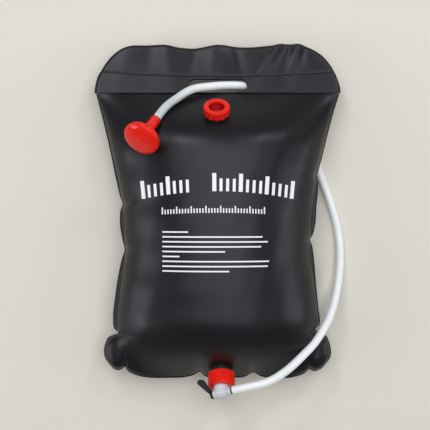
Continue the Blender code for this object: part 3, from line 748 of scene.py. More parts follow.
@dataclass(frozen=True)
class InkFinish:
    """White screen print: slightly uneven in tone, with pinholes where the film shows."""

    name: str = "white_print"
    colour: Colour = (0.86, 0.86, 0.86)
    worn: Colour = (0.40, 0.40, 0.41)
    wear: float = 420.0
    grain: float = 1500.0
    pinholes: tuple[float, float] = (0.62, 0.80)
    worn_share: float = 0.8
    roughness: float = 0.5
    grain_rough: float = 0.1
    relief: float = 0.1
    relief_height: float = 0.0001

    def material(self) -> Material:
        """Make the material.

        Returns:
            The material.
        """
        tree = Tree(self.name)
        wear = tree.noise(self.wear, 4.0).between(*self.pinholes)
        fine = tree.noise(self.grain, 2.0)
        colour = tree.tint(wear * self.worn_share, self.colour, self.worn)
        rough = self.roughness + fine * self.grain_rough
        normal = tree.bump(fine, self.relief, self.relief_height)
        return tree.finish(colour, rough, normal, {})


@dataclass(frozen=True)
class FloorFinish:
    """Pale plain cloth-like ground: one colour with the faintest unevenness."""

    name: str = "pale_ground"
    colour: Colour = (0.735, 0.700, 0.615)
    shade: Colour = (0.705, 0.670, 0.586)
    clouds: float = 6.0
    threads: float = 900.0
    slubs: float = 60.0
    cloud_share: float = 0.5
    thread_share: float = 0.25
    roughness: float = 0.9
    relief: float = 0.15
    relief_height: float = 0.0003

    def material(self) -> Material:
        """Make the material.

        Returns:
            The material.
        """
        tree = Tree(self.name)
        soft = tree.noise(self.clouds, 4.0)
        across = tree.noise(1.0, 2.0, tree.stretched((self.slubs, self.threads, self.slubs)))
        along = tree.noise(1.0, 2.0, tree.stretched((self.threads, self.slubs, self.slubs)))
        share = soft * self.cloud_share + (across + along) * self.thread_share
        colour = tree.tint(share, self.shade, self.colour)
        normal = tree.bump(across + along, self.relief, self.relief_height)
        return tree.finish(colour, self.roughness, normal, {})


class Finishes:
    """All of the object's materials, made once."""

    def __init__(self) -> None:
        """Make them."""
        self.film = FilmFinish().material()
        # The red's dark second colour is painted shade in the cap's recess
        self.red = MouldedFinish(
            "red_plastic", colour=(0.860, 0.020, 0.008), shade=(0.760, 0.010, 0.005),
            roughness=0.13, pits=0.07, specular=0.30, painted_shade=(0.330, 0.002, 0.003),
        ).material()
        self.milky = MouldedFinish(
            "milky_plastic", colour=(0.84, 0.84, 0.88), shade=(0.76, 0.76, 0.81),
            roughness=0.30, pits=0.10, transmission=0.28, subsurface=0.3,
        ).material()
        # The hose's grey-blue second colour is painted shade on its run over the dark film
        self.hose = MouldedFinish(
            "milky_hose", colour=(0.90, 0.90, 0.90), shade=(0.85, 0.86, 0.86),
            roughness=0.26, pits=0.06, grain=300.0, subsurface=0.2, painted_shade=(0.60, 0.63, 0.67),
        ).material()
        self.black = MouldedFinish(
            "black_plastic", colour=(0.014, 0.014, 0.015), shade=(0.009, 0.009, 0.010),
            roughness=0.42, pits=0.2,
        ).material()
        self.rubber = MouldedFinish(
            "black_rubber", colour=(0.012, 0.012, 0.012), shade=(0.007, 0.007, 0.007),
            roughness=0.66, pits=0.3,
        ).material()
        self.white = MouldedFinish(
            "white_plastic", colour=(0.72, 0.72, 0.70), shade=(0.66, 0.66, 0.63),
            roughness=0.42, pits=0.15,
        ).material()
        self.ink = InkFinish().material()


# Sub-assemblies


@dataclass
class SubAssembly:
    """A group of pieces that share a place and are dressed together."""

    finishes: Finishes

    def settle(
        self,
        piece: Piece,
        material: Material,
        body: Body,
        nodes: Sequence[str] = (),
    ) -> Piece:
        """Dress a new piece, let it ride on a body and note what it stands for.

        Args:
            piece: The piece.
            material: Its material.
            body: Body that it moves with.
            nodes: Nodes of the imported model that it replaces.

        Returns:
            The piece.
        """
        piece.data.materials.clear()
        piece.data.materials.append(material)
        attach(piece, body.value)
        if nodes:
            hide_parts(*nodes)
        LOG.info("%s rides on %s, stands for %s", piece.name, body.value, ", ".join(nodes) or "-")
        return piece

    def dress(self, node: str, material: Material) -> None:
        """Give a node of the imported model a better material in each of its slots.

        Args:
            node: The node's name.
            material: The material.
        """
        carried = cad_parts[node]
        for slot in carried.material_slots:
            slot.link = "OBJECT"
            slot.material = material
        LOG.info("%s carried over", node)


@dataclass(frozen=True)
class Pleat:
    """A pinch in the film: a valley with a soft ridge on each side, from the rim inwards.

    The ridges' distance, width and height are shares of the valley's half width and depth. The
    valley widens from the first share of its width by the second, and eases in near the rim.
    """

    x: float
    down: float
    along_x: float
    along_down: float
    length: float
    width: float
    depth: float
    ridge_at: float = 1.9
    ridge_width: float = 0.9
    ridge_height: float = 0.45
    widening: tuple[float, float] = (0.65, 0.7)
    ease_in: float = 0.012
    start: float = 0.75

    def height(self, x: Array, down: Array) -> Array:
        """Change of height that the pleat makes.

        With a along the pleat and b across it, both in the film's plan, the change is
        -depth (bell(b/w) - ridge_height bell((|b|/w - ridge_at)/ridge_width)), with w the width
        that grows along a, times a fall-off along a.

        Args:
            x: Across.
            down: Down the bag.

        Returns:
            Array of heights.
        """
        size = math.hypot(self.along_x, self.along_down)
        ax, ad = self.along_x / size, self.along_down / size
        a = (x - self.x) * ax + (down - self.down) * ad
        b = (x - self.x) * ad - (down - self.down) * ax
        first, growth = self.widening
        wide = self.width * (first + growth * np.clip(a / self.length, 0, 1))
        valley = hump(b, wide)
        ridges = hump(np.abs(b) / wide - self.ridge_at, self.ridge_width)
        fade = (1 - ease(a / self.length)) * ease(a / self.ease_in + self.start)
        return -self.depth * (valley - self.ridge_height * ridges) * fade


@dataclass
class FilmShape:
    """Form of the filled bag: where its two films run, as functions of two shares.

    The outline is read from the two sides' tables and the bottom's; the films swell between
    welds, pinched by pleats, with a small lobe of their own in each lower corner. Table swell
    gives the swollen part's half width, as a share of half_span, against the share down. A row of
    slow_dents is a weight and, for each of two sines, its turn per metre across and down and its
    start.
    """

    length: float = 0.450
    weld: float = 0.0026
    shoulder_width: float = 0.1922
    waist: float = 0.1250
    corner: float = 0.4363
    corner_width: float = 0.1643
    foot: float = 0.0125
    shoulder_height: float = 0.045
    bottom_height: float = 0.041
    crown: float = 0.0795
    crown_rise: float = 0.100
    crown_fall: float = 0.090
    belly: float = 0.0615
    belly_rise: float = 0.140
    belly_fall: float = 0.080
    edge_power: float = 0.60
    sag: float = 0.05
    droop: float = 0.0020
    dent: float = 0.0009
    dent_middle: float = 0.25
    dent_reach: float = 0.15
    slow_dents: tuple[tuple[float, ...], ...] = (
        (1.0, 31.0, 47.0, 0.4, -22.0, 63.0, 1.1), (0.6, 85.0, -38.0, 2.0, 71.0, 90.0, 0.0),
    )
    crease_gain: float = 3.0
    back_creases: float = 0.6
    lobe: float = 0.0140
    lobe_reach: float = 0.0240
    lobe_across: tuple[float, float] = (0.105, 0.050)
    lobe_down: tuple[float, float] = (0.360, 0.036)
    half_span: float = 0.1925
    notch_reach: float = 0.0110
    left: Table = (
        (0.0, 0.1920), (0.0447, 0.1804), (0.0933, 0.1692), (0.1381, 0.1598), (0.1640, 0.1535),
        (0.1736, 0.1500), (0.1850, 0.1535), (0.2050, 0.1545), (0.2310, 0.1505), (0.2484, 0.1470),
        (0.2600, 0.1510), (0.2764, 0.1548), (0.3214, 0.1622), (0.3550, 0.1655), (0.3720, 0.1640),
        (0.3811, 0.1590), (0.3835, 0.1670), (0.3860, 0.1722), (0.3930, 0.1765), (0.4026, 0.1796),
        (0.4096, 0.1800), (0.4227, 0.1764), (0.4300, 0.1712), (0.4363, 0.1643), (0.4400, 0.1560),
        (0.4500, 0.1400),
    )
    right: Table = (
        (0.0, 0.1925), (0.0160, 0.1875), (0.0434, 0.1795), (0.0757, 0.1714), (0.1080, 0.1633),
        (0.1230, 0.1590), (0.1307, 0.1560), (0.1400, 0.1582), (0.1793, 0.1565), (0.2100, 0.1540),
        (0.2230, 0.1505), (0.2308, 0.1462), (0.2400, 0.1495), (0.2577, 0.1522), (0.3026, 0.1562),
        (0.3400, 0.1600), (0.3660, 0.1616), (0.3773, 0.1580), (0.3800, 0.1660), (0.3830, 0.1712),
        (0.3900, 0.1755), (0.3984, 0.1784), (0.4076, 0.1800), (0.4147, 0.1797), (0.4227, 0.1763),
        (0.4300, 0.1711), (0.4363, 0.1643), (0.4400, 0.1550), (0.4500, 0.1400),
    )
    bottom: Table = (
        (-0.1900, 0.4100), (-0.1764, 0.4227), (-0.1643, 0.4363), (-0.1573, 0.4381),
        (-0.1508, 0.4354), (-0.1459, 0.4309), (-0.1427, 0.4382), (-0.1354, 0.4436),
        (-0.1254, 0.4473), (-0.1144, 0.4495), (-0.1035, 0.4505), (-0.0800, 0.4505),
        (-0.0500, 0.4490), (-0.0360, 0.4450), (-0.0279, 0.4405), (-0.0210, 0.4470),
        (-0.0100, 0.4500), (0.0200, 0.4500), (0.0450, 0.4480), (0.0569, 0.4415), (0.0680, 0.4475),
        (0.0900, 0.4503), (0.1152, 0.4503), (0.1217, 0.4490), (0.1330, 0.4457), (0.1382, 0.4430),
        (0.1422, 0.4392), (0.1444, 0.4355), (0.1474, 0.4371), (0.1514, 0.4392), (0.1560, 0.4398),
        (0.1643, 0.4363), (0.1763, 0.4227), (0.1900, 0.4100),
    )
    swell: Table = (
        (0.0, 0.985), (0.100, 0.920), (0.210, 0.864), (0.310, 0.811), (0.390, 0.783),
        (0.500, 0.767), (0.560, 0.759), (0.620, 0.779), (0.720, 0.811), (0.790, 0.828),
        (0.845, 0.820), (0.915, 0.800), (0.955, 0.780), (1.0, 0.745),
    )
    pleats: tuple[Pleat, ...] = (
        Pleat(-0.152, 0.1745, 0.90, -0.45, 0.040, 0.0065, 0.0034),
        Pleat(-0.149, 0.2490, 0.95, 0.10, 0.028, 0.0055, 0.0028),
        Pleat(-0.164, 0.3800, 0.85, 0.30, 0.026, 0.0060, 0.0026),
        Pleat(0.158, 0.1310, 0.80, 0.60, 0.042, 0.0070, 0.0038),
        Pleat(0.148, 0.2310, 0.95, -0.15, 0.030, 0.0055, 0.0028),
        Pleat(0.162, 0.3770, -0.90, 0.25, 0.026, 0.0060, 0.0026),
        Pleat(-0.028, 0.4430, 0.05, -1.00, 0.030, 0.0046, 0.0022),
        Pleat(0.057, 0.4440, 0.10, -1.00, 0.018, 0.0040, 0.0016),
        Pleat(-0.145, 0.4340, 0.35, -0.95, 0.022, 0.0050, 0.0022),
        Pleat(0.144, 0.4370, -0.35, -0.95, 0.022, 0.0050, 0.0022),
    )

    def plan(self, s: Array, t: Array) -> tuple[Array, Array]:
        """Place in plan of shares across (s, -1 to 1) and down (t, 0 to 1).

        x = s ((1-t)^2 top + 2t(1-t) waist + t^2 low) between two plain sides, and down is t times
        a plain foot, corner + bulge (1 - s^4). What the true sides and bottom edge add to these
        fades inwards as u^6, (1-u)^6 and t^12, where u = (1 + s) / 2.

        Args:
            s: Shares across.
            t: Shares down.

        Returns:
            Arrays of x and of the distance down.
        """
        u = (1 + s) / 2
        plain = (1 - t) ** 2 * self.shoulder_width + 2 * t * (1 - t) * self.waist
        plain = plain + t**2 * self.corner_width
        left = smooth_read(self.left, t * self.corner) - plain
        right = smooth_read(self.right, t * self.corner) - plain
        x = s * plain + u**6 * right - (1 - u) ** 6 * left
        foot = self.corner + self.foot * (1 - s**4)
        below = smooth_read(self.bottom, self.corner_width * s) - foot
        return x, t * foot + t**12 * below

    def rim(self, x: Array, down: Array) -> Array:
        """Distance to the outline, straight across or straight down, whichever is less."""
        aside = self.half_width(x, down) - np.abs(x)
        return np.minimum(aside, smooth_read(self.bottom, x) - down)

    def half_width(self, side: Array, down: Array) -> Array:
        """Half width at a distance down, on the left for a negative side, else on the right."""
        return np.where(side < 0, smooth_read(self.left, down), smooth_read(self.right, down))

    def seam(self, down: Array) -> Array:
        """Height of the side seams over the floor."""
        fall = (self.bottom_height - self.shoulder_height) / self.length
        return self.shoulder_height + fall * np.maximum(down, 0)

    def hang(self, x: Array, down: Array) -> Array:
        """How far the welded rim hangs below the seam, growing evenly to its edge."""
        return self.droop * (1 - np.clip(self.rim(x, down) / self.weld, 0, 1))

    def swelling(self, x: Array, down: Array, rise: float, fall: float) -> Array:
        """Share of the full height: sine rises at both ends times (1 - (x/w)^2)^power across.

        Each rise levels off softly, so that no line shows where it ends. The outline's notches
        count near the rim only: their weight is exp(-d / notch_reach), with d from the rim.

        Args:
            x: Across.
            down: Down the bag.
            rise: Distance from the shoulder to the full height.
            fall: Distance from the full height to the bottom weld.

        Returns:
            Array from 0 to 1.
        """
        plain = self.corner + self.foot * (1 - np.abs(x / self.corner_width) ** 4) - down
        gap = smooth_read(self.bottom, x) - down
        near = np.exp(-np.maximum(gap, 0) / self.notch_reach)
        gap = near * gap + (1 - near) * plain - self.weld
        full = smooth_read(self.swell, down / self.length) * self.half_span
        edge = self.half_width(x, down)
        near = np.exp(-np.maximum(edge - np.abs(x), 0) / self.notch_reach)
        wide = near * np.minimum(full, edge - self.weld) + (1 - near) * full
        side = np.clip(np.abs(x) / wide, 0, 1)
        middle = (rise + self.length - fall) / 2
        sag = self.sag * ((down - middle) / middle) ** 2
        start = np.sin(level_off(down / rise) * math.pi / 2)
        end = np.sin(level_off(gap / fall) * math.pi / 2)
        return start * end * (1 - sag) * (1 - side**2) ** self.edge_power

    def lobes(self, x: Array, down: Array) -> Array:
        """Share of the corner lobes' height: sqrt(r (2 - r)) with r the distance from the weld.

        Only the two lower corners have one; it comes in from a place on, over a distance.

        Args:
            x: Across.
            down: Down the bag.

        Returns:
            Array from 0 to 1.
        """
        r = np.clip((self.rim(x, down) - self.weld) / self.lobe_reach, 0, 1)
        aside, width = self.lobe_across
        low, height = self.lobe_down
        corner = ease((np.abs(x) - aside) / width) * ease((down - low) / height)
        return np.sqrt(r * (2 - r)) * corner

    def lift(self, x: Array, down: Array, body: Array) -> Array:
        """Height over the seam of the body and its lobes: (body^2 + lobe^2)^(1/2)."""
        return np.hypot(np.maximum(body, 0), self.lobe * self.lobes(x, down))

    def creases(self, x: Array, down: Array) -> Array:
        """Sum of the pleats and of slow dents, products of two sines that grow towards the rim.

        Args:
            x: Across.
            down: Down the bag.

        Returns:
            Array of heights.
        """
        total = sum(pleat.height(x, down) for pleat in self.pleats)
        slow = sum(
            weight * np.sin(a * x + b * down + c) * np.sin(d * x + e * down + f)
            for weight, a, b, c, d, e, f in self.slow_dents
        )
        near_rim = self.dent_middle + (1 - self.dent_middle) * ease(np.abs(x) / self.dent_reach)
        return total + self.dent * slow * near_rim

    def creased(self, x: Array, down: Array, share: Array, height: float, part: float) -> Array:
        """Height over the seam of a film: swollen by a share, with part of the creases."""
        dents = self.creases(x, down) * np.clip(share * self.crease_gain, 0, 1)
        return self.lift(x, down, height * share + part * dents)

    def front(self, x: Array, down: Array) -> Array:
        """Height of the front film's inner face: the seam plus its rise, less the rim's hang.

        Args:
            x: Across.
            down: Down the bag.

        Returns:
            Array of heights.
        """
        share = self.swelling(x, down, self.crown_rise, self.crown_fall)
        rise = self.creased(x, down, share, self.crown, 1.0)
        return self.seam(down) + GAP / 2 + rise - self.hang(x, down)

    def back(self, x: Array, down: Array) -> Array:
        """Height of the back film's inner face, below the seam, and flat where it lies down.

        Args:
            x: Across.
            down: Down the bag.

        Returns:
            Array of heights.
        """
        share = self.swelling(x, down, self.belly_rise, self.belly_fall)
        rise = self.creased(x, down, share, self.belly, self.back_creases)
        return np.maximum(FILM, self.seam(down) - GAP / 2 - rise - self.hang(x, down))

    def on_front(self, x: Array, down: Array, lift: float) -> Array:
        """Points over the front film's inner face, lifted along its normal.

        Args:
            x: Across.
            down: Down the bag.
            lift: Distance along the normal, which is (-dz/dx, dz/ddown, 1) made a unit.

        Returns:
            Array (..., 3).
        """
        step = 0.0004
        dx = (self.front(x + step, down) - self.front(x - step, down)) / (2 * step)
        dd = (self.front(x, down + step) - self.front(x, down - step)) / (2 * step)
        normal = np.stack((-dx, dd, np.ones_like(dx)), axis=-1)
        normal /= np.linalg.norm(normal, axis=-1, keepdims=True)
        base = np.stack((x, SHOULDER_Y - down, self.front(x, down)), axis=-1)
        return base + lift * normal


@dataclass
class FilmBag(SubAssembly):
    """The two films of the bag, with their holes for the fittings.

    Crowded and even are the weights of rows that crowd towards both ends and of even ones.
    """

    shape: FilmShape = field(default_factory=FilmShape)
    columns: int = 181
    rows: int = 201
    crowded: float = 0.7
    even: float = 0.3
    filler_hole: float = 0.0159
    outlet_hole: float = 0.0126
    hole_steps: int = 72
    hole_high: float = 0.010
    hole_low: float = -0.012

    def build(self) -> None:
        """Build and dress both films."""
        self.film("front_film", self.shape.front, 1.0, "front_panel")
        self.film("back_film", self.shape.back, -1.0, "back_panel")

    def film(self, name: str, height: Height, side: float, node: str) -> None:
        """One film: the surface (x, down, height) over shares that crowd towards the rim.

        Args:
            name: Name of the piece.
            height: Gives the height of the film's inner face.
            side: 1 for a wall above the inner face, -1 for one below it.
            node: Node that the film replaces.
        """
        s = np.sin(np.linspace(-1, 1, self.columns) * math.pi / 2)
        ramp = np.linspace(0, 1, self.rows)
        t = (1 - np.cos(math.pi * ramp)) / 2 * self.crowded + ramp * self.even
        grid_t, grid_s = np.meshgrid(t, s, indexing="ij")
        x, down = self.shape.plan(grid_s, grid_t)
        points = np.stack((x, SHOULDER_Y - down, height(x, down)), axis=-1)
        mesh = make_mesh(name, points)
        mark(mesh, "edge", 1 - np.clip(self.shape.rim(x, down) / EDGE_REACH, 0, 1))
        mark(mesh, "weld", np.zeros_like(x))
        face_up(mesh, side)
        piece = make_object(name, mesh)
        thicken(piece, FILM, 1.0)
        if side > 0:
            holes = []
            for axis, radius in ((FILLER_AXIS, self.filler_hole), (OUTLET_AXIS, self.outlet_hole)):
                pin = rod(radius, self.hole_high, self.hole_low)
                holes.append(lathe("film_hole", axis, pin, self.hole_steps))
            combine(piece, holes)
        self.settle(piece, self.finishes.film, Body.BAG, [node])


@dataclass
class HeaderShape:
    """Form of the header: two wavy sheets welded along their rim, with a sleeve over the slot.

    A row of folds is its place across, half width, height and lean. The folds grow up the header
    from the share fold_foot, and fade over fold_fade before fold_end at the sides.
    """

    height: float = 0.0812
    trim: float = 0.001
    level: float = 0.00165
    closed_level: float = 0.00050
    border: float = 0.0050
    border_width: float = 0.0007
    sleeve_width: float = 0.0011
    sleeve_pinch: float = 0.00055
    sleeve_up: float = 0.0290
    sleeve_bow: float = 0.0075
    sleeve_half: float = 0.185
    weld_mark: float = 0.9
    border_mark: float = 0.25
    lean_from: float = 0.04
    fold_foot: float = 0.12
    fold_growth: float = 1.3
    fold_top: float = 1.2
    fold_end: float = 0.19
    fold_fade: float = 0.03
    axis: Axis = Axis((0.0, SHOULDER_Y, 0.045), (1.0, 0.0, 0.0), (0.0, 0.195946, 0.980615))
    half: float = 0.1945
    side: Table = (
        (0.0, 0.1950), (0.0144, 0.1938), (0.0232, 0.1918), (0.0296, 0.1890), (0.0380, 0.1852),
        (0.0450, 0.1810), (0.0566, 0.1728), (0.0720, 0.1560), (0.0800, 0.1400), (0.0840, 0.1200),
    )
    top: Table = (
        (-0.1950, 0.0060), (-0.1918, 0.0232), (-0.1852, 0.0380), (-0.1742, 0.0562),
        (-0.1588, 0.0716), (-0.1431, 0.0788), (-0.1202, 0.0811), (-0.0777, 0.0806),
        (-0.0633, 0.0776), (-0.0345, 0.0768), (-0.0128, 0.0796), (0.0056, 0.0815), (0.0481, 0.0776),
        (0.0850, 0.0806), (0.1194, 0.0836), (0.1390, 0.0806), (0.1560, 0.0722), (0.1725, 0.0578),
        (0.1812, 0.0452), (0.1886, 0.0296), (0.1933, 0.0144), (0.1950, 0.0060),
    )
    folds: tuple[tuple[float, float, float, float], ...] = (
        (-0.150, 0.016, 0.0018, 0.25), (-0.112, 0.013, -0.0014, 0.10),
        (-0.078, 0.012, 0.0018, -0.10), (-0.045, 0.013, -0.0026, 0.20),
        (-0.006, 0.012, 0.0028, 0.05), (0.034, 0.012, -0.0030, -0.20),
        (0.074, 0.0065, 0.0034, 0.60), (0.098, 0.009, -0.0022, 0.40), (0.120, 0.0080, 0.0036, 0.25),
        (0.152, 0.013, -0.0020, -0.20),
    )

    def plan(self, s: Array, v: Array) -> tuple[Array, Array]:
        """Place in the header's plane of shares across (-1 to 1) and up (0 to 1).

        x = s half and up = trim + v (top(x) - trim).

        Args:
            s: Shares across.
            v: Shares up.

        Returns:
            Arrays of x and of the distance up.
        """
        x = self.half * s
        return x, self.trim + v * (smooth_read(self.top, x) - self.trim)

    def rim(self, x: Array, up: Array) -> Array:
        """Distance to the outline, straight across or straight up, whichever is less."""
        return np.minimum(smooth_read(self.side, up) - np.abs(x), smooth_read(self.top, x) - up)

    def wave(self, x: Array, up: Array) -> Array:
        """Height of the folds: a bell across each, leaning with the height up the header.

        Args:
            x: Across.
            up: Up the header.

        Returns:
            Array of heights over the header's plane.
        """
        share = np.clip(up / self.height, 0, self.fold_top)
        total = 0
        for at, width, size, lean in self.folds:
            total = total + size * hump(x - at - lean * (up - self.lean_from), width)
        grown = self.fold_foot + (1 - self.fold_foot) * share**self.fold_growth
        return total * grown * ease((self.fold_end - np.abs(x)) / self.fold_fade)

    def sleeve_line(self, x: Array) -> Array:
        """Where the weld under the sleeve runs: a shallow curve, lowest in the middle."""
        return self.sleeve_up + self.sleeve_bow * (x / self.sleeve_half) ** 2

    def points(self, s: Array, v: Array, side: float) -> tuple[Array, Array, Array]:
        """Middle face of one sheet.

        The sheet keeps its level inside, and closes on the other one towards the rim and along
        the sleeve's weld.

        Args:
            s: Shares across.
            v: Shares up.
            side: 1 for the front sheet, -1 for the back one.

        Returns:
            Points in the shared frame, and the shares of the rim and of the welds.
        """
        x, up = self.plan(s, v)
        rim = np.maximum(self.rim(x, up), 0)
        closing = ease(rim / self.border)
        weld = hump(up - self.sleeve_line(x), self.sleeve_width)
        border = hump(rim - self.border, self.border_width)
        level = self.closed_level + (self.level - self.closed_level) * closing
        level = level - self.sleeve_pinch * weld
        height = self.wave(x, up) + side * level
        placed = self.axis.place(np.stack((x, up, height), axis=-1))
        edge = 1 - np.clip(rim / EDGE_REACH, 0, 1)
        return placed, edge, np.clip(weld * self.weld_mark + border * self.border_mark, 0, 1)


def stadium(half: float, radius: float, middle: float, steps: int = 25) -> Array:
    """Outline of a slot: two half circles round (half, middle) and (-half, middle).

    Args:
        half: Half the distance between the circles' middles.
        radius: Their radius.
        middle: Their distance up the header.
        steps: Points on each.

    Returns:
        Array (n, 2).
    """
    turn = np.linspace(-math.pi / 2, math.pi / 2, steps)
    right = np.stack((half + radius * np.cos(turn), middle + radius * np.sin(turn)), axis=-1)
    left = np.stack((-half - radius * np.cos(turn), middle - radius * np.sin(turn)), axis=-1)
    return np.concatenate((right, left))


@dataclass
class Header(SubAssembly):
    """Front and back sheet, the stiffening strip in their sleeve and the slot's welded lip.

    The strip's section goes round through (share of its outline, height as a share of its wall).
    """

    shape: HeaderShape = field(default_factory=HeaderShape)
    columns: int = 221
    rows: int = 71
    crowded_across: float = 0.6
    crowded_up: float = 0.4
    slot_half: float = 0.0362
    slot_radius: float = 0.0111
    slot_up: float = 0.0128
    cutter_half: float = 0.012
    strip_half: float = 0.119
    strip_radius: float = 0.011
    strip_low: float = 0.0335
    strip_wall: float = 0.0017
    strip_columns: int = 161
    strip_power: int = 24
    strip_section: Table = (
        (0.0, 0.5), (0.5, 0.5), (0.97, 0.5), (1.0, 0.3),
        (1.0, -0.3), (0.97, -0.5), (0.5, -0.5), (0.0, -0.5),
    )
    lip_half: float = 0.0007
    lip_height: float = 0.0024
    lip_edge: float = 0.95
    lip_end_steps: int = 33
    lip_steps: int = 14

    def build(self) -> None:
        """Build and dress the header."""
        self.sheet("header_front", 1.0, "header_front_sheet")
        self.sheet("header_back", -1.0, "header_back_sheet")
        self.strip()
        self.lip()

    def sheet(self, name: str, side: float, node: str) -> None:
        """One sheet, with points that crowd towards its sides and top, and its slot cut out.

        Args:
            name: Name of the piece.
            side: 1 for the front sheet, -1 for the back one.
            node: Node that the sheet replaces.
        """
        ramp = np.linspace(-1, 1, self.columns)
        crowded = self.crowded_across
        s = crowded * np.sin(ramp * math.pi / 2) + (1 - crowded) * ramp
        v = np.linspace(0, 1, self.rows)
        crowded = self.crowded_up
        v = (1 - crowded) * v + crowded * np.sin(v * math.pi / 2)
        grid_v, grid_s = np.meshgrid(v, s, indexing="ij")
        points, rim, weld = self.shape.points(grid_s, grid_v, side)
        mesh = make_mesh(name, points)
        mark(mesh, "edge", rim)
        mark(mesh, "weld", weld)
        piece = make_object(name, mesh)
        thicken(piece, FILM, 0.0)
        combine(piece, [self.slot_cutter()])
        self.settle(piece, self.finishes.film, Body.BAG, [node])

    def slot_cutter(self) -> Piece:
        """Prism of the slot's outline through both sheets.

        Returns:
            The prism, as a shape to cut with.
        """
        outline = stadium(self.slot_half, self.slot_radius, self.slot_up)
        centre = np.array((0.0, self.slot_up))
        grid = np.empty((4, len(outline), 3))
        grid[:, :, :2] = centre
        grid[1:3, :, :2] = outline
        grid[:, :, 2] = self.cutter_half * np.array((1, 1, -1, -1))[:, None]
        return solid("slot_cutter", self.shape.axis.place(grid))

    def strip(self) -> None:
        """Stiffening strip: a stadium slab that follows the sheets' folds."""
        middle = (self.shape.height + self.strip_low) / 2
        shares, heights = np.array(self.strip_section).T
        heights = heights * self.strip_wall
        along = np.linspace(-1, 1, self.strip_columns)
        upper = np.column_stack((along, np.sqrt(1 - np.abs(along) ** self.strip_power)))
        loop = np.concatenate((upper, upper[::-1] * (1, -1)))
        reach = np.array((self.strip_half + self.strip_radius, self.strip_radius))
        flat = loop[None] * reach * np.stack((np.ones_like(shares), shares), axis=-1)[:, None]
        flat[..., 1] += middle
        rise = heights[:, None] + self.shape.wave(flat[..., 0], flat[..., 1])
        points = self.shape.axis.place(np.concatenate((flat, rise[..., None]), axis=-1))
        piece = solid("header_strip", points)
        self.settle(piece, self.finishes.white, Body.BAG, ["header_stiffener"])

    def lip(self) -> None:
        """Welded lip of the slot: a rounded section carried round the slot's outline."""
        radius = self.slot_radius + GAP
        outline = stadium(self.slot_half, radius, self.slot_up, self.lip_end_steps)
        spine = np.clip(outline[:, :1], -self.slot_half, self.slot_half)
        away = outline - np.concatenate((spine, np.full_like(spine, self.slot_up)), axis=1)
        away /= np.linalg.norm(away, axis=1, keepdims=True)
        turn = whole_turn(self.lip_steps)
        out = self.lip_half * np.cos(turn)[None, :, None] * away[:, None]
        flat = outline[:, None] + out
        height = self.lip_height * np.sin(turn)[None, :]
        height = height + self.shape.wave(flat[..., 0], flat[..., 1])
        grid = np.concatenate((flat, height[..., None]), axis=-1)
        piece = solid("slot_lip", self.shape.axis.place(grid), wrap_rows=True)
        for name, share in (("edge", self.lip_edge), ("weld", 0.0)):
            mark(piece.data, name, np.full(len(piece.data.vertices), share))
        self.settle(piece, self.finishes.film, Body.BAG)


# Axes of the fittings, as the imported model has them
FILLER_AXIS = Axis((-0.0015, 0.158536, 0.090851), (1.0, 0.0, 0.0), (0.0, 0.705503, 0.708707))
OUTLET_AXIS = Axis((0.006, -0.236483, 0.056552), (1.0, 0.0, 0.0), (0.0, -0.799449, 0.600733))
TAP_AXIS = Axis((0.006, -0.268062, 0.080281), (0.882948, 0.282027, 0.375319), OUTLET_AXIS.z)
PLUG_AXIS = Axis(TAP_AXIS.origin, (-0.469472, 0.530416, 0.705872), TAP_AXIS.x)
HEAD_AXIS = Axis(
    (-0.113, 0.119336, 0.12856), (0.919163, -0.284445, 0.272451), (-0.393876, -0.663792, 0.6358)
)

# Width of the eased step at a flute's inner side, and at its two ends
FLUTE_SIDE = 0.0012
FLUTE_END = 0.0008
# Thread: pitch, height and half width of its ridge, its height at the ends, how deep it sits in the
# neck, the share of its length over which each end fades, and its points a turn and round
THREAD_PITCH = 0.0030
THREAD_HEIGHT = 0.00045
THREAD_HALF = 0.0006
THREAD_END = 0.00002
THREAD_SUNK = 0.0001
THREAD_FADE = 0.06
THREAD_STEPS = 72
THREAD_SIDES = 10


@dataclass(frozen=True)
class Flutes:
    """Finger flutes of a turned surface.

    The radius shrinks by depth ((1 - cos(count a)) / 2)^sharpness, only outside the start radius
    and between the two heights, with eased ends. A sharpness above 1 narrows the flutes.
    """

    count: int
    depth: float
    sharpness: float
    start: float
    low: float
    high: float

    def cut(self, radius: Array, height: Array, angle: Array) -> Array:
        """Give the fluted radius.

        Args:
            radius: Plain radius of each point.
            height: Its height.
            angle: Its angle.

        Returns:
            Array of radii.
        """
        wave = ((1 - np.cos(self.count * angle)) / 2) ** self.sharpness
        outside = ease((radius - self.start) / FLUTE_SIDE)
        inside = ease((height - self.low) / FLUTE_END + 1)
        inside = inside * ease((self.high - height) / FLUTE_END + 1)
        return radius - self.depth * wave * outside * inside


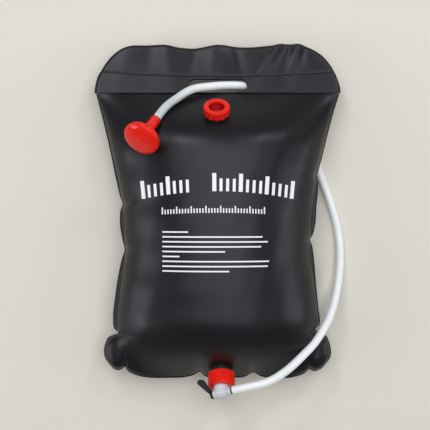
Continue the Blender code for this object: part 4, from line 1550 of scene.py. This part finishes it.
@dataclass
class Filler(SubAssembly):
    """Filler: screw cap with its recessed middle, the neck and its thread, the gasket."""

    cap_radius: float = 0.0203
    cap_top: float = 0.0170
    cap_height: float = 0.0128
    recess_radius: float = 0.01225
    recess_depth: float = 0.0084
    neck_radius: float = 0.0164
    thread_play: float = 0.0008
    thread_low: float = 0.0042
    thread_high: float = 0.0118
    plate: float = 0.0021
    cup_wall: float = 0.00125
    bevel: float = 0.0016
    rounding: float = 0.0011
    taper: float = 0.0006
    dish: float = 0.0003
    recess_taper: float = 0.96
    skirt_bevel: float = 0.0012
    wall_rows: int = 8
    steps: int = 288
    painted_shade_depth: float = 0.003

    def build(self) -> None:
        """Build and dress the filler."""
        self.cap()
        thread(
            self, "filler_thread", FILLER_AXIS, self.neck_radius, self.thread_low, self.thread_high
        )
        self.dress("filler_neck", self.finishes.black)
        self.dress("filler_gasket", self.finishes.rubber)

    def cap(self) -> None:
        """Cap: a fluted turned shell, open below, with a cup sunk in its top."""
        top, bottom = self.cap_top, self.cap_top - self.cap_height
        recess = top - self.recess_depth
        under = top - self.plate
        skirt = self.neck_radius + self.thread_play
        cup = self.recess_radius + self.cup_wall
        outer = rounded(
            (
                (0, recess - self.dish), (self.recess_radius * self.recess_taper, recess),
                (self.recess_radius, top), (self.cap_radius - self.taper, top),
                (self.cap_radius, bottom), (skirt, bottom), (skirt, under), (cup, under),
                (cup, recess - self.plate), (0, recess - self.plate),
            ),
            self.rounding,
        )
        wall = np.linspace(top - self.bevel, bottom + self.skirt_bevel, self.wall_rows)
        split = int(np.argmax(outer[:, 1] < top - self.bevel))
        side = np.column_stack((np.full_like(wall, self.cap_radius), wall))
        profile = np.concatenate((outer[:split], side, outer[split:]))
        grip = Flutes(
            count=12, depth=0.0019, sharpness=1.5, start=self.cap_radius - 0.0032,
            low=bottom - 0.01, high=top - 0.0030,
        )
        piece = lathe("screw_cap", FILLER_AXIS, profile, self.steps, grip=grip.cut)
        # Painted shade: the recess darkens with its depth below the cap's top
        x, y, z = FILLER_AXIS.local(corners(piece.data)).T
        inside = np.hypot(x, y) < self.recess_radius
        mark(piece.data, "painted_shade", inside * ease((top - z) / self.painted_shade_depth))
        self.settle(piece, self.finishes.red, Body.CAP, ["filler_cap"])


def thread(
    group: SubAssembly, name: str, axis: Axis, radius: float, low: float, high: float
) -> None:
    """Screw thread round a neck: a rounded ridge carried along a helix, faded at both ends.

    The path is (r cos a, r sin a, low + pitch a / 2 pi), and each end closes on a point.

    Args:
        group: Sub-assembly that it belongs to.
        name: Name of the piece.
        axis: The neck's axis.
        radius: The neck's radius.
        low: Height of the first turn.
        high: Height of the last one.
    """
    turns = (high - low) / THREAD_PITCH
    angle = np.linspace(0, 2 * math.pi * turns, int(THREAD_STEPS * turns))[:, None]
    share = np.linspace(0, 1, len(angle))[:, None]
    fade = ease(share / THREAD_FADE) * ease((1 - share) / THREAD_FADE)
    height = THREAD_HEIGHT * np.sqrt(fade) + THREAD_END
    turn = whole_turn(THREAD_SIDES)[None, :]
    out = radius - THREAD_SUNK + height * (1 + np.cos(turn)) / 2
    rise = low + THREAD_PITCH * angle / (2 * math.pi) + THREAD_HALF * np.sin(turn)
    grid = np.stack((out * np.cos(angle), out * np.sin(angle), rise), axis=-1)
    first, last = (np.broadcast_to(end.mean(axis=0), (1, *end.shape)) for end in grid[[0, -1]])
    closed = np.concatenate((first, grid, last))
    group.settle(solid(name, axis.place(closed)), group.finishes.black, Body.BAG)


@dataclass
class Outlet(SubAssembly):
    """Outlet: union nut on its threaded neck, with the gasket and slip ring inside.

    The nut's side has points at the falls below its top and at the rises over its bottom.
    """

    nut_radius: float = 0.0210
    nut_top: float = 0.0302
    nut_length: float = 0.0225
    nut_bore: float = 0.0173
    lip_low: float = 0.0278
    stem_radius: float = 0.0128
    neck_radius: float = 0.0165
    thread_low: float = 0.0090
    thread_high: float = 0.0210
    rounding: float = 0.0008
    falls: tuple[float, ...] = (0.0012, 0.0030, 0.0070, 0.0110, 0.0150)
    rises: tuple[float, ...] = (0.0030, 0.0010)
    foot_bevel: float = 0.0010
    steps: int = 352

    def build(self) -> None:
        """Build and dress the outlet."""
        self.nut()
        thread(
            self, "outlet_thread", OUTLET_AXIS, self.neck_radius, self.thread_low, self.thread_high
        )
        self.dress("outlet_neck", self.finishes.black)
        self.dress("outlet_gasket", self.finishes.rubber)
        self.dress("nut_slip_ring", self.finishes.white)

    def nut(self) -> None:
        """Union nut: a turned ring with shallow flutes between two plain rims."""
        top, bottom = self.nut_top, self.nut_top - self.nut_length
        heights = [top - fall for fall in self.falls] + [bottom + rise for rise in self.rises]
        profile = [(self.stem_radius, top), (self.nut_radius - self.falls[0], top)]
        profile += [(self.nut_radius, height) for height in heights]
        profile += [(self.nut_radius - self.foot_bevel, bottom), (self.nut_bore, bottom)]
        profile += [(self.nut_bore, self.lip_low), (self.stem_radius, self.lip_low)]
        ring = rounded(profile, self.rounding, closed=True)
        grip = Flutes(
            count=22, depth=0.0006, sharpness=1.6, start=self.nut_radius - 0.0028,
            low=bottom + 0.0014, high=top - 0.0022,
        )
        piece = lathe("union_nut", OUTLET_AXIS, ring, self.steps, closed=True, grip=grip.cut)
        self.settle(piece, self.finishes.red, Body.NUT, ["outlet_nut"])


@dataclass
class Tap(SubAssembly):
    """Tap: domed milky body with its collar and barb, black lever, plug, rings and seals.

    The lever's edge is rows of (share of its outline, height as a share of its wall).
    """

    stem_radius: float = 0.0125
    dome_radius: float = 0.0113
    dome_rise: float = 0.0096
    stand_off: float = 0.0093
    tail_radius: float = 0.0167
    tail_top: float = -0.0133
    tail_wall: float = 0.0020
    inlet_radius: float = 0.0086
    inlet_end: float = -0.0075
    port_radius: float = 0.0028
    plug_radius: float = 0.0055
    mouth_radius: float = 0.0080
    mouth_reach: float = 0.0120
    collar_radius: float = 0.0062
    collar_reach: float = 0.0172
    barb_radius: float = 0.0040
    barb_reach: float = 0.0330
    ring_radius: float = 0.0055
    ring_wall: float = 0.0024
    hub_radius: float = 0.0066
    hub_wall: float = 0.0052
    lever_length: float = 0.0270
    lever_wall: float = 0.0032
    lever_root: float = 0.0034
    lever_tip: float = 0.00615
    lever_turn: float = math.radians(75)
    lever_flare: float = math.radians(7)
    neck_radius: float = 0.0054
    stem_bore: float = 0.0035
    screw_bore: float = 0.0026
    screw_end: float = 0.0069
    end_bore: float = 0.0068
    plug_end: float = -0.0105
    bore_high: float = 0.04
    bore_low: float = -0.02
    hub_offset: float = 0.0032
    bore_over: float = 0.004
    dome_steps: int = 16
    shell_steps: int = 96
    bore_steps: int = 48
    tip_steps: int = 25
    heel_steps: int = 13
    shell_rounding: float = 0.0006
    mouth_rounding: float = 0.0008
    collar_bevel: float = 0.0012
    barb_rounding: float = 0.0005
    ring_play: float = 0.0006
    ring_rounding: float = 0.0007
    hub_rounding: float = 0.0009
    edge: Table = (
        (0, 0.42), (0.55, 0.43), (0.84, 0.5), (0.95, 0.44), (1, 0.25),
        (1, -0.25), (0.95, -0.44), (0.84, -0.5), (0.55, -0.43), (0, -0.42),
    )

    def build(self) -> Piece:
        """Build and dress the tap.

        Returns:
            The black ring at the foot of the hose.
        """
        self.body()
        self.lever()
        self.dress("tap_plug", self.finishes.black)
        self.dress("plug_o_ring_inner", self.finishes.rubber)
        self.dress("plug_o_ring_outer", self.finishes.rubber)
        self.dress("plug_retaining_ring", self.finishes.white)
        return self.ring()

    def body(self) -> None:
        """Body: a domed stem, a mouth boss and a collared barb, joined and bored."""
        sine, cosine = quarter_turn(self.dome_steps)
        dome = np.column_stack((self.dome_radius * sine, self.dome_rise * cosine))
        below = rounded(
            (
                (self.dome_radius, 0), (self.stem_radius, -self.stand_off),
                (self.stem_radius, self.tail_top), (self.tail_radius, self.tail_top),
                (self.tail_radius, self.tail_top - self.tail_wall),
                (self.inlet_radius, self.tail_top - self.tail_wall),
                (self.inlet_radius, self.inlet_end), (self.port_radius, self.inlet_end),
                (self.port_radius, 0), (0, 0),
            ),
            self.shell_rounding,
        )
        profile = np.concatenate((dome[:-1], below))
        piece = lathe("tap_shell", TAP_AXIS, profile, self.shell_steps)
        mouth = rounded(rod(self.mouth_radius, 0, -self.mouth_reach), self.mouth_rounding)
        barb = rounded(
            (
                (0, 0), (self.neck_radius, 0), (self.neck_radius, self.dome_radius - FILM),
                (self.collar_radius, self.collar_reach - self.collar_bevel),
                (self.collar_radius, self.collar_reach), (self.barb_radius, self.collar_reach),
                (self.barb_radius, self.barb_reach), (0, self.barb_reach),
            ),
            self.barb_rounding,
        )
        arms = [lathe("tap_mouth", PLUG_AXIS, mouth), lathe("tap_barb", PLUG_AXIS, barb)]
        combine(piece, arms, "UNION")
        bore = np.array(
            (
                (0, self.bore_high), (self.screw_bore, self.bore_high),
                (self.screw_bore, self.screw_end), (self.plug_radius, self.screw_end),
                (self.plug_radius, self.plug_end), (self.end_bore, self.plug_end),
                (self.end_bore, self.bore_low), (0, self.bore_low),
            )
        )
        combine(piece, [lathe("tap_bore", PLUG_AXIS, bore, self.bore_steps)])
        self.settle(piece, self.finishes.milky, Body.BAG, ["tap_body"])

    def ring(self) -> Piece:
        """Black ring between the collar and the hose.

        Returns:
            The ring.
        """
        low = self.collar_reach + GAP
        high = low + self.ring_wall
        inner = self.barb_radius + self.ring_play
        section = ((inner, high), (self.ring_radius, high), (self.ring_radius, low), (inner, low))
        profile = rounded(section, self.ring_rounding, closed=True)
        piece = lathe("barb_washer", PLUG_AXIS, profile, closed=True)
        return self.settle(piece, self.finishes.rubber, Body.BAG, ["barb_ring"])

    def lever(self) -> None:
        """Lever: a hub on the plug's stem and a rounded paddle that leans away from the nut."""
        high = -(self.mouth_reach + GAP)
        low = high - self.hub_wall
        hub = rounded(rod(self.hub_radius, high, low), self.hub_rounding)
        piece = lathe("lever", PLUG_AXIS, hub)
        combine(piece, [self.paddle((low + high) / 2)], "UNION")
        bore = rod(self.stem_bore, high + self.bore_over, low - self.bore_over)
        combine(piece, [lathe("lever_bore", PLUG_AXIS, bore, self.bore_steps)])
        self.settle(piece, self.finishes.black, Body.TAP_VALVE, ["tap_lever"])

    def paddle(self, middle: float) -> Piece:
        """Paddle: a tapered stadium whose rows go from its spine round the edge and back.

        Row k is spine + share_k R(a) (cos a, sin a), at height_k over the paddle's own plane.

        Args:
            middle: Height of the hub's middle on the plug's axis.

        Returns:
            The paddle, as a shape to join.
        """
        flare, root_radius, tip_radius = self.lever_flare, self.lever_root, self.lever_tip
        along = np.array((math.sin(self.lever_turn), -math.cos(self.lever_turn), 0.0))
        away = np.array((0.0, 0.0, -1.0))
        normal = np.cross(along, away)
        lean = math.asin((tip_radius - root_radius) / self.lever_length)
        tips, heels = self.tip_steps, self.heel_steps
        tip_turn = np.linspace(-math.pi / 2 - lean, math.pi / 2 + lean, tips)
        heel_turn = np.linspace(math.pi / 2 + lean, 3 * math.pi / 2 - lean, heels)
        turn = np.concatenate((tip_turn, heel_turn)) + flare
        radius = np.concatenate((np.full(tips, tip_radius), np.full(heels, root_radius)))
        root = np.array((self.hub_offset + root_radius / 2, root_radius - self.hub_wall / 2))
        tip = root + self.lever_length * np.array((math.cos(flare), math.sin(flare)))
        spine = np.concatenate((np.tile(tip, (tips, 1)), np.tile(root, (heels, 1))))
        shares, heights = np.array(self.edge).T[..., None, None]
        heights = heights * self.lever_wall
        ring = radius[:, None] * np.stack((np.cos(turn), np.sin(turn)), axis=-1)
        flat = spine[None] + shares * ring[None]
        local = flat[..., :1] * along + flat[..., 1:] * away + heights * normal
        return solid("lever_paddle", PLUG_AXIS.place(local + np.array((0.0, 0.0, middle))))


@dataclass
class ShowerHead(SubAssembly):
    """Shower head: glossy mushroom shell with its socket, and the domed rose.

    Each of the rings is a count of spray holes and their distance from the axis.
    """

    radius: float = 0.0280
    neck_radius: float = 0.0083
    length: float = 0.0487
    back: float = 0.0125
    socket_radius: float = 0.0067
    socket_depth: float = 0.0160
    channel_radius: float = 0.0036
    rim_inner: float = 0.0254
    rise: float = 0.0075
    wall: float = 0.0016
    edge_radius: float = 0.0004
    skirt_low: float = -0.0029
    rim_bevel: float = 0.0006
    flare_start: float = 0.2
    hollow_start: float = 0.0048
    hollow_floor: float = 0.0066
    neck_bevel: Table = ((0.0, 0.0012), (0.0004, 0.0003), (0.0009, 0.0))
    shell_steps: int = 14
    rose_steps: int = 24
    steps: int = 128
    hole_sides: int = 10
    pin_length: float = 0.02
    rings: tuple[tuple[int, float], ...] = ((8, 0.0076), (14, 0.0143), (20, 0.0200))
    hole_radius: float = 0.00042

    def build(self) -> None:
        """Build and dress the shower head."""
        self.shell()
        self.rose()
        self.dress("head_seal_ring", self.finishes.rubber)

    def shell(self) -> None:
        """Shell: neck radius plus a quarter ellipse to the rim, turned, with its hollow."""
        s, c = quarter_turn(self.shell_steps)
        flare = self.radius - self.neck_radius
        share = self.flare_start + (1 - self.flare_start) * s
        outer = np.column_stack((self.neck_radius + flare * c, -self.back * share))
        shrink = self.rim_inner - self.channel_radius
        depth = self.hollow_start + (self.back - self.hollow_floor) * s[::-1]
        hollow = np.column_stack((self.channel_radius + shrink * c[::-1], -depth))
        low = -self.length
        end = [(self.neck_radius - inward, low + upward) for inward, upward in self.neck_bevel]
        floor = low + self.socket_depth
        socket = [(self.socket_radius, low), (self.socket_radius, floor)]
        neck = np.array((*end, *socket, (self.channel_radius, floor)))
        edge = ((self.radius - self.edge_radius, 0.0), (self.radius, -self.rim_bevel))
        rim = ((self.rim_inner, 0.0), *edge)
        profile = np.concatenate((rim, outer, neck, hollow))
        piece = lathe("head_body", HEAD_AXIS, profile, self.steps, closed=True)
        self.settle(piece, self.finishes.red, Body.BAG, ["head_shell"])

    def rose(self) -> None:
        """Rose: the dome (R sin a, rise cos a) with a soft edge, a skirt and fine spray holes."""
        s, c = quarter_turn(self.rose_steps)
        dome = np.column_stack((self.radius * s, FILM + GAP + (self.rise - FILM - GAP) * c))
        skirt = self.rim_inner - GAP
        inner = skirt - self.wall
        under = np.column_stack((inner * s[::-1], (self.rise - self.wall) * c[::-1]))
        edge = ((self.radius - self.edge_radius, GAP), (skirt, GAP))
        foot = ((skirt, self.skirt_low), (inner, self.skirt_low))
        profile = np.concatenate((dome, edge, foot, under))
        piece = lathe("head_face", HEAD_AXIS, profile, self.steps)
        combine(piece, [self.holes()])
        self.settle(piece, self.finishes.red, Body.BAG, ["head_rose"])

    def holes(self) -> Piece:
        """Rods for the spray holes, in rings round the axis, as one shape.

        Returns:
            The rods, as a shape to cut with.
        """
        pin = turned(rod(self.hole_radius, self.pin_length, 0), self.hole_sides)
        grids = []
        for count, radius in self.rings:
            for turn in np.arange(count) * 2 * math.pi / count:
                shift = (radius * math.cos(turn), radius * math.sin(turn), 0)
                grids.append(HEAD_AXIS.place(pin + shift))
        mesh = joined("spray_holes", grids, wrap_columns=True)
        keep_sharp(mesh)
        return make_object("spray_holes", mesh)


@dataclass
class HoseRun(SubAssembly):
    """Hose: a milky tube from the tap over the bag's corner, under it and out at the slot."""

    radius: float = 0.0064
    bore: float = 0.0048
    spacing: float = 0.003
    start: float = 0.0202
    leave: float = 0.0342
    end: float = -0.0330
    arrive: float = -0.0487
    painted_shade_from: float = 0.050
    painted_shade_reach: float = 0.035
    curve_steps: int = 24
    sides: int = 40
    # Across, down from the shoulder line, and height
    route: tuple[Point, ...] = (
        (0.0760, 0.4465, 0.0940), (0.1030, 0.4325, 0.0870), (0.1290, 0.4130, 0.0735),
        (0.1555, 0.3880, 0.0585), (0.1780, 0.3530, 0.0430), (0.1915, 0.3160, 0.0240),
        (0.1985, 0.2780, 0.0108), (0.1990, 0.2400, 0.0069), (0.1925, 0.2000, 0.0068),
        (0.1800, 0.1600, 0.0068), (0.1670, 0.1260, 0.0068), (0.1560, 0.0920, 0.0068),
        (0.1460, 0.0590, 0.0073), (0.1310, 0.0310, 0.0088), (0.1090, 0.0080, 0.0130),
        (0.0810, -0.0080, 0.0210), (0.0500, -0.0142, 0.0300), (0.0200, -0.0146, 0.0385),
        (-0.0100, -0.0113, 0.0480), (-0.0400, -0.0048, 0.0585), (-0.0630, 0.0108, 0.0700),
        (-0.0800, 0.0262, 0.0835),
    )

    def path(self) -> Array:
        """Centre line, evenly spaced.

        Straight ends at the tap and in the shower head's socket; between them, on each run from
        b to c with neighbours a and d, b + (c-a)t/2 + (2a-5b+4c-d)t^2/2 + (3b-a-3c+d)t^3/2.

        Returns:
            Array (n, 3).
        """
        start, leave = PLUG_AXIS.place(np.array(((0, 0, self.start), (0, 0, self.leave))))
        arrive, end = HEAD_AXIS.place(np.array(((0, 0, self.arrive), (0, 0, self.end))))
        across, down, height = np.array(self.route).T
        middle = np.column_stack((across, SHOULDER_Y - down, height))
        knots = np.concatenate((leave[None], middle, arrive[None]))
        ends = np.concatenate((2 * knots[:1] - knots[1:2], knots, 2 * knots[-1:] - knots[-2:-1]))
        a, b, c, d = (ends[i : len(ends) - 3 + i, None] for i in range(4))
        t = np.linspace(0, 1, self.curve_steps, endpoint=False)[None, :, None]
        curve = b + (c - a) * t / 2
        curve = curve + (2 * a - 5 * b + 4 * c - d) * t**2 / 2
        curve = (curve + (3 * b - a - 3 * c + d) * t**3 / 2).reshape(-1, 3)
        line = np.concatenate((start[None], curve, arrive[None], end[None]))
        walked = np.concatenate(((0,), np.cumsum(np.linalg.norm(np.diff(line, axis=0), axis=1))))
        even = np.linspace(0, walked[-1], int(walked[-1] / self.spacing) + 1)
        return np.column_stack([np.interp(even, walked, line[:, i]) for i in range(3)])

    def build(self, washer: Piece) -> None:
        """Build the tube: an outer skin along the path and a bore back along it.

        Args:
            washer: The ring at its foot; not used.
        """
        path = self.path()
        turn = whole_turn(self.sides)
        circle = np.column_stack((np.cos(turn), np.sin(turn)))
        circles = np.broadcast_to(circle, (len(path), self.sides, 2))
        outer, inner = swept(path, self.radius * circles), swept(path, self.bore * circles)
        piece = solid("hose_tube", np.concatenate((outer, inner[::-1])), wrap_rows=True)
        # Painted shade: the run over the bag darkens above a height, where the dark film shows
        # through
        place = corners(piece.data)
        upper = ease((place[:, 2] - self.painted_shade_from) / self.painted_shade_reach)
        mark(piece.data, "painted_shade", (place[:, 1] > 0) * upper)
        self.settle(piece, self.finishes.hose, Body.BAG, ["hose"])


@dataclass
class GaugePrint(SubAssembly):
    """Plain white gauge printed on the front film: bold blocks, a finer scale and rules.

    The tall marks of a row have their middles at its distance down in the bag's middle, the low
    ones stand on the same lower line, and the row sags towards both sides as rise (x / reach)^2.
    Each group of blocks is its first and last place across and its count.
    """

    shape: FilmShape = field(default_factory=FilmShape)
    lift: float = 0.00012
    wall: float = 0.00008
    spacing: float = 0.0012
    rows: int = 9
    block_groups: tuple[tuple[float, float, int], ...] = (
        (-0.1135, -0.0450, 8), (-0.0050, 0.1135, 13),
    )
    blocks_down: float = 0.1430
    blocks_rise: float = 0.0115
    blocks_reach: float = 0.118
    block_high: float = 0.0135
    block_low: float = 0.0095
    block_wide: float = 0.0030
    block_thin: float = 0.0022
    tall_block_every: int = 4
    scale_down: float = 0.1835
    scale_rise: float = 0.0022
    scale_reach: float = 0.08
    mark_high: float = 0.0052
    mark_low: float = 0.0034
    mark_wide: float = 0.0010
    marks: int = 36
    tall_mark_every: int = 5
    left_end: float = -0.0830
    right_end: float = 0.0700
    rules_down: float = 0.2175
    rules_pitch: float = 0.00735
    rule_half: float = 0.0011
    rules: tuple[float, ...] = (0.039, 0.150, 0.158, 0.148, 0.094, 0.026, 0.160, 0.158, 0.100)

    def build(self) -> None:
        """Build and dress the print as one piece."""
        rows = np.concatenate((self.blocks(), self.scale(), self.rule_block()))
        mesh = joined("gauge_print", (self.patch(*row) for row in rows))
        face_up(mesh)
        piece = make_object("gauge_print", mesh)
        thicken(piece, self.wall, 1.0)
        self.settle(piece, self.finishes.ink, Body.BAG)

    def patch(self, x: float, down: float, wide: float, high: float, tilt: float) -> Array:
        """One mark: a tilted rectangle laid on the film.

        Args:
            x: Its middle, across.
            down: Its middle, down the bag.
            wide: Half its width.
            high: Half its height.
            tilt: Slope of its row, so that its sides stand square to the row.

        Returns:
            Grid of points on the film.
        """
        count = max(3, int(wide / self.spacing)) if wide > high else 4
        across = np.linspace(-wide, wide, count + 2)
        u, w = np.meshgrid(across, np.linspace(-high, high, self.rows))
        return self.shape.on_front(x + u - tilt * w, down + w + tilt * u, FILM + self.lift)

    def blocks(self) -> Array:
        """Row of bold blocks in two groups, every fourth one taller and wider.

        Returns:
            Rows of what patch takes.
        """
        x = np.concatenate([np.linspace(*group) for group in self.block_groups])
        main = np.arange(len(x)) % self.tall_block_every == 0
        tall = np.where(main, self.block_high, self.block_low)
        wide = np.where(main, self.block_wide, self.block_thin)
        down = self.blocks_down + self.blocks_rise * (x / self.blocks_reach) ** 2
        tilt = self.blocks_rise * x / self.blocks_reach**2
        return np.column_stack((x, down + self.block_high - tall, wide, tall, tilt))

    def scale(self) -> Array:
        """Fine scale under the blocks, every fifth mark taller.

        Returns:
            Rows of what patch takes.
        """
        x = np.linspace(self.left_end, self.right_end, self.marks)
        main = np.arange(len(x)) % self.tall_mark_every == 0
        tall = np.where(main, self.mark_high, self.mark_low)
        down = self.scale_down + self.scale_rise * (x / self.scale_reach) ** 2
        down = down + self.mark_high - tall
        wide = np.full_like(x, self.mark_wide)
        return np.column_stack((x, down, wide, tall, np.zeros_like(x)))

    def rule_block(self) -> Array:
        """Block of thin rules of unlike length under the scale, all from its left end.

        Returns:
            Rows of what patch takes.
        """
        half = np.array(self.rules) / 2
        down = self.rules_down + self.rules_pitch * np.arange(len(half))
        thin = np.full_like(half, self.rule_half)
        return np.column_stack((self.left_end + half, down, half, thin, np.zeros_like(half)))


@dataclass(frozen=True)
class Lamp:
    """Soft oblong lamp that faces the bag, with its power in watts."""

    name: str
    place: Point
    width: float
    height: float
    power: float

    def hang(self, colour: Colour) -> None:
        """Make the lamp, turned about Z and tilted so that it faces the origin.

        Args:
            colour: Colour of its light.
        """
        light = bpy.data.lights.new(self.name, "AREA")
        light.shape = "RECTANGLE"
        light.size, light.size_y = self.width, self.height
        light.energy = self.power
        light.color = colour
        lamp = bpy.data.objects.new(self.name, light)
        back = np.asarray(self.place) / np.linalg.norm(self.place)
        lamp.location = self.place
        lamp.rotation_euler = (math.acos(back[2]), 0.0, math.atan2(back[0], -back[1]))
        bpy.context.scene.collection.objects.link(lamp)


@dataclass
class Studio:
    """Camera over the bag, pale ground and soft light."""

    camera_place: Point = (-0.004, 0.006036, 1.35)
    focal_pixels: float = 823.9
    photo_side: int = 430
    sensor: float = 36.0
    clip: tuple[float, float] = (0.05, 50.0)
    ground_rings: tuple[float, ...] = (0.0, 1.0, 2.6)
    ground_steps: int = 64
    lamps: tuple[Lamp, ...] = (
        Lamp("overhead", (0.10, 0.32, 2.2), 2.4, 2.0, 35.0),
        Lamp("left_window", (-1.9, -0.5, 0.75), 1.0, 0.8, 11.0),
        Lamp("right_window", (2.0, -0.2, 0.85), 1.0, 0.8, 8.0),
        Lamp("back_window", (-0.7, 1.5, 1.6), 0.35, 0.35, 7.0),
        Lamp("back_lamp", (1.0, 1.5, 1.5), 0.35, 0.35, 6.0),
    )
    lamp_colour: Colour = (0.94, 0.96, 1.0)
    room_colour: Colour = (0.98, 0.99, 1.0)
    room_strength: float = 0.22
    seen_colour: Colour = (0.67, 0.65, 0.60)

    def build(self) -> None:
        """Build the camera first, then the ground and the light."""
        self.camera()
        self.ground()
        for lamp in self.lamps:
            lamp.hang(self.lamp_colour)
        self.world()

    def camera(self) -> None:
        """Camera that looks straight down, as the photograph's does."""
        lens = bpy.data.cameras.new("photo_view")
        lens.sensor_width = self.sensor
        lens.lens = self.focal_pixels / self.photo_side * self.sensor
        lens.clip_start, lens.clip_end = self.clip
        camera = bpy.data.objects.new("photo_view", lens)
        camera.location = self.camera_place
        bpy.context.scene.collection.objects.link(camera)
        bpy.context.scene.camera = camera

    def ground(self) -> None:
        """Ground: a flat round disc under the bag."""
        profile = np.array([(radius, 0.0) for radius in self.ground_rings])
        mesh = make_mesh("ground", turned(profile, self.ground_steps), wrap_columns=True)
        merge(mesh, face_out=False)
        ground = make_object("ground", mesh)
        mesh.materials.append(FloorFinish().material())

    def world(self) -> None:
        """Even light all round, which the camera sees as the ground's own pale colour."""
        world = bpy.data.worlds.new("soft_room")
        bpy.context.scene.world = world
        world.use_nodes = True
        nodes, links = world.node_tree.nodes, world.node_tree.links
        light = nodes["Background"]
        light.inputs["Color"].default_value = (*self.room_colour, 1.0)
        light.inputs["Strength"].default_value = self.room_strength
        seen = nodes.new("ShaderNodeBackground")
        seen.inputs["Color"].default_value = (*self.seen_colour, 1.0)
        path = nodes.new("ShaderNodeLightPath")
        mix = nodes.new("ShaderNodeMixShader")
        links.new(path.outputs["Is Camera Ray"], mix.inputs[0])
        links.new(light.outputs[0], mix.inputs[1])
        links.new(seen.outputs[0], mix.inputs[2])
        links.new(mix.outputs[0], nodes["World Output"].inputs["Surface"])


def write_sizes() -> None:
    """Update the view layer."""
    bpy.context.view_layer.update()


def main() -> None:
    """Build the studio, the hose and each sub-assembly in turn."""
    logging.basicConfig(level=logging.INFO, format="%(name)s: %(message)s")
    bpy.context.scene.view_settings.view_transform = "Standard"
    Studio().build()
    finishes = Finishes()
    washer = Tap(finishes).build()
    HoseRun(finishes).build(washer)
    FilmBag(finishes).build()
    Header(finishes).build()
    Filler(finishes).build()
    Outlet(finishes).build()
    ShowerHead(finishes).build()
    GaugePrint(finishes).build()
    write_sizes()


if __name__ == "__main__":
    main()
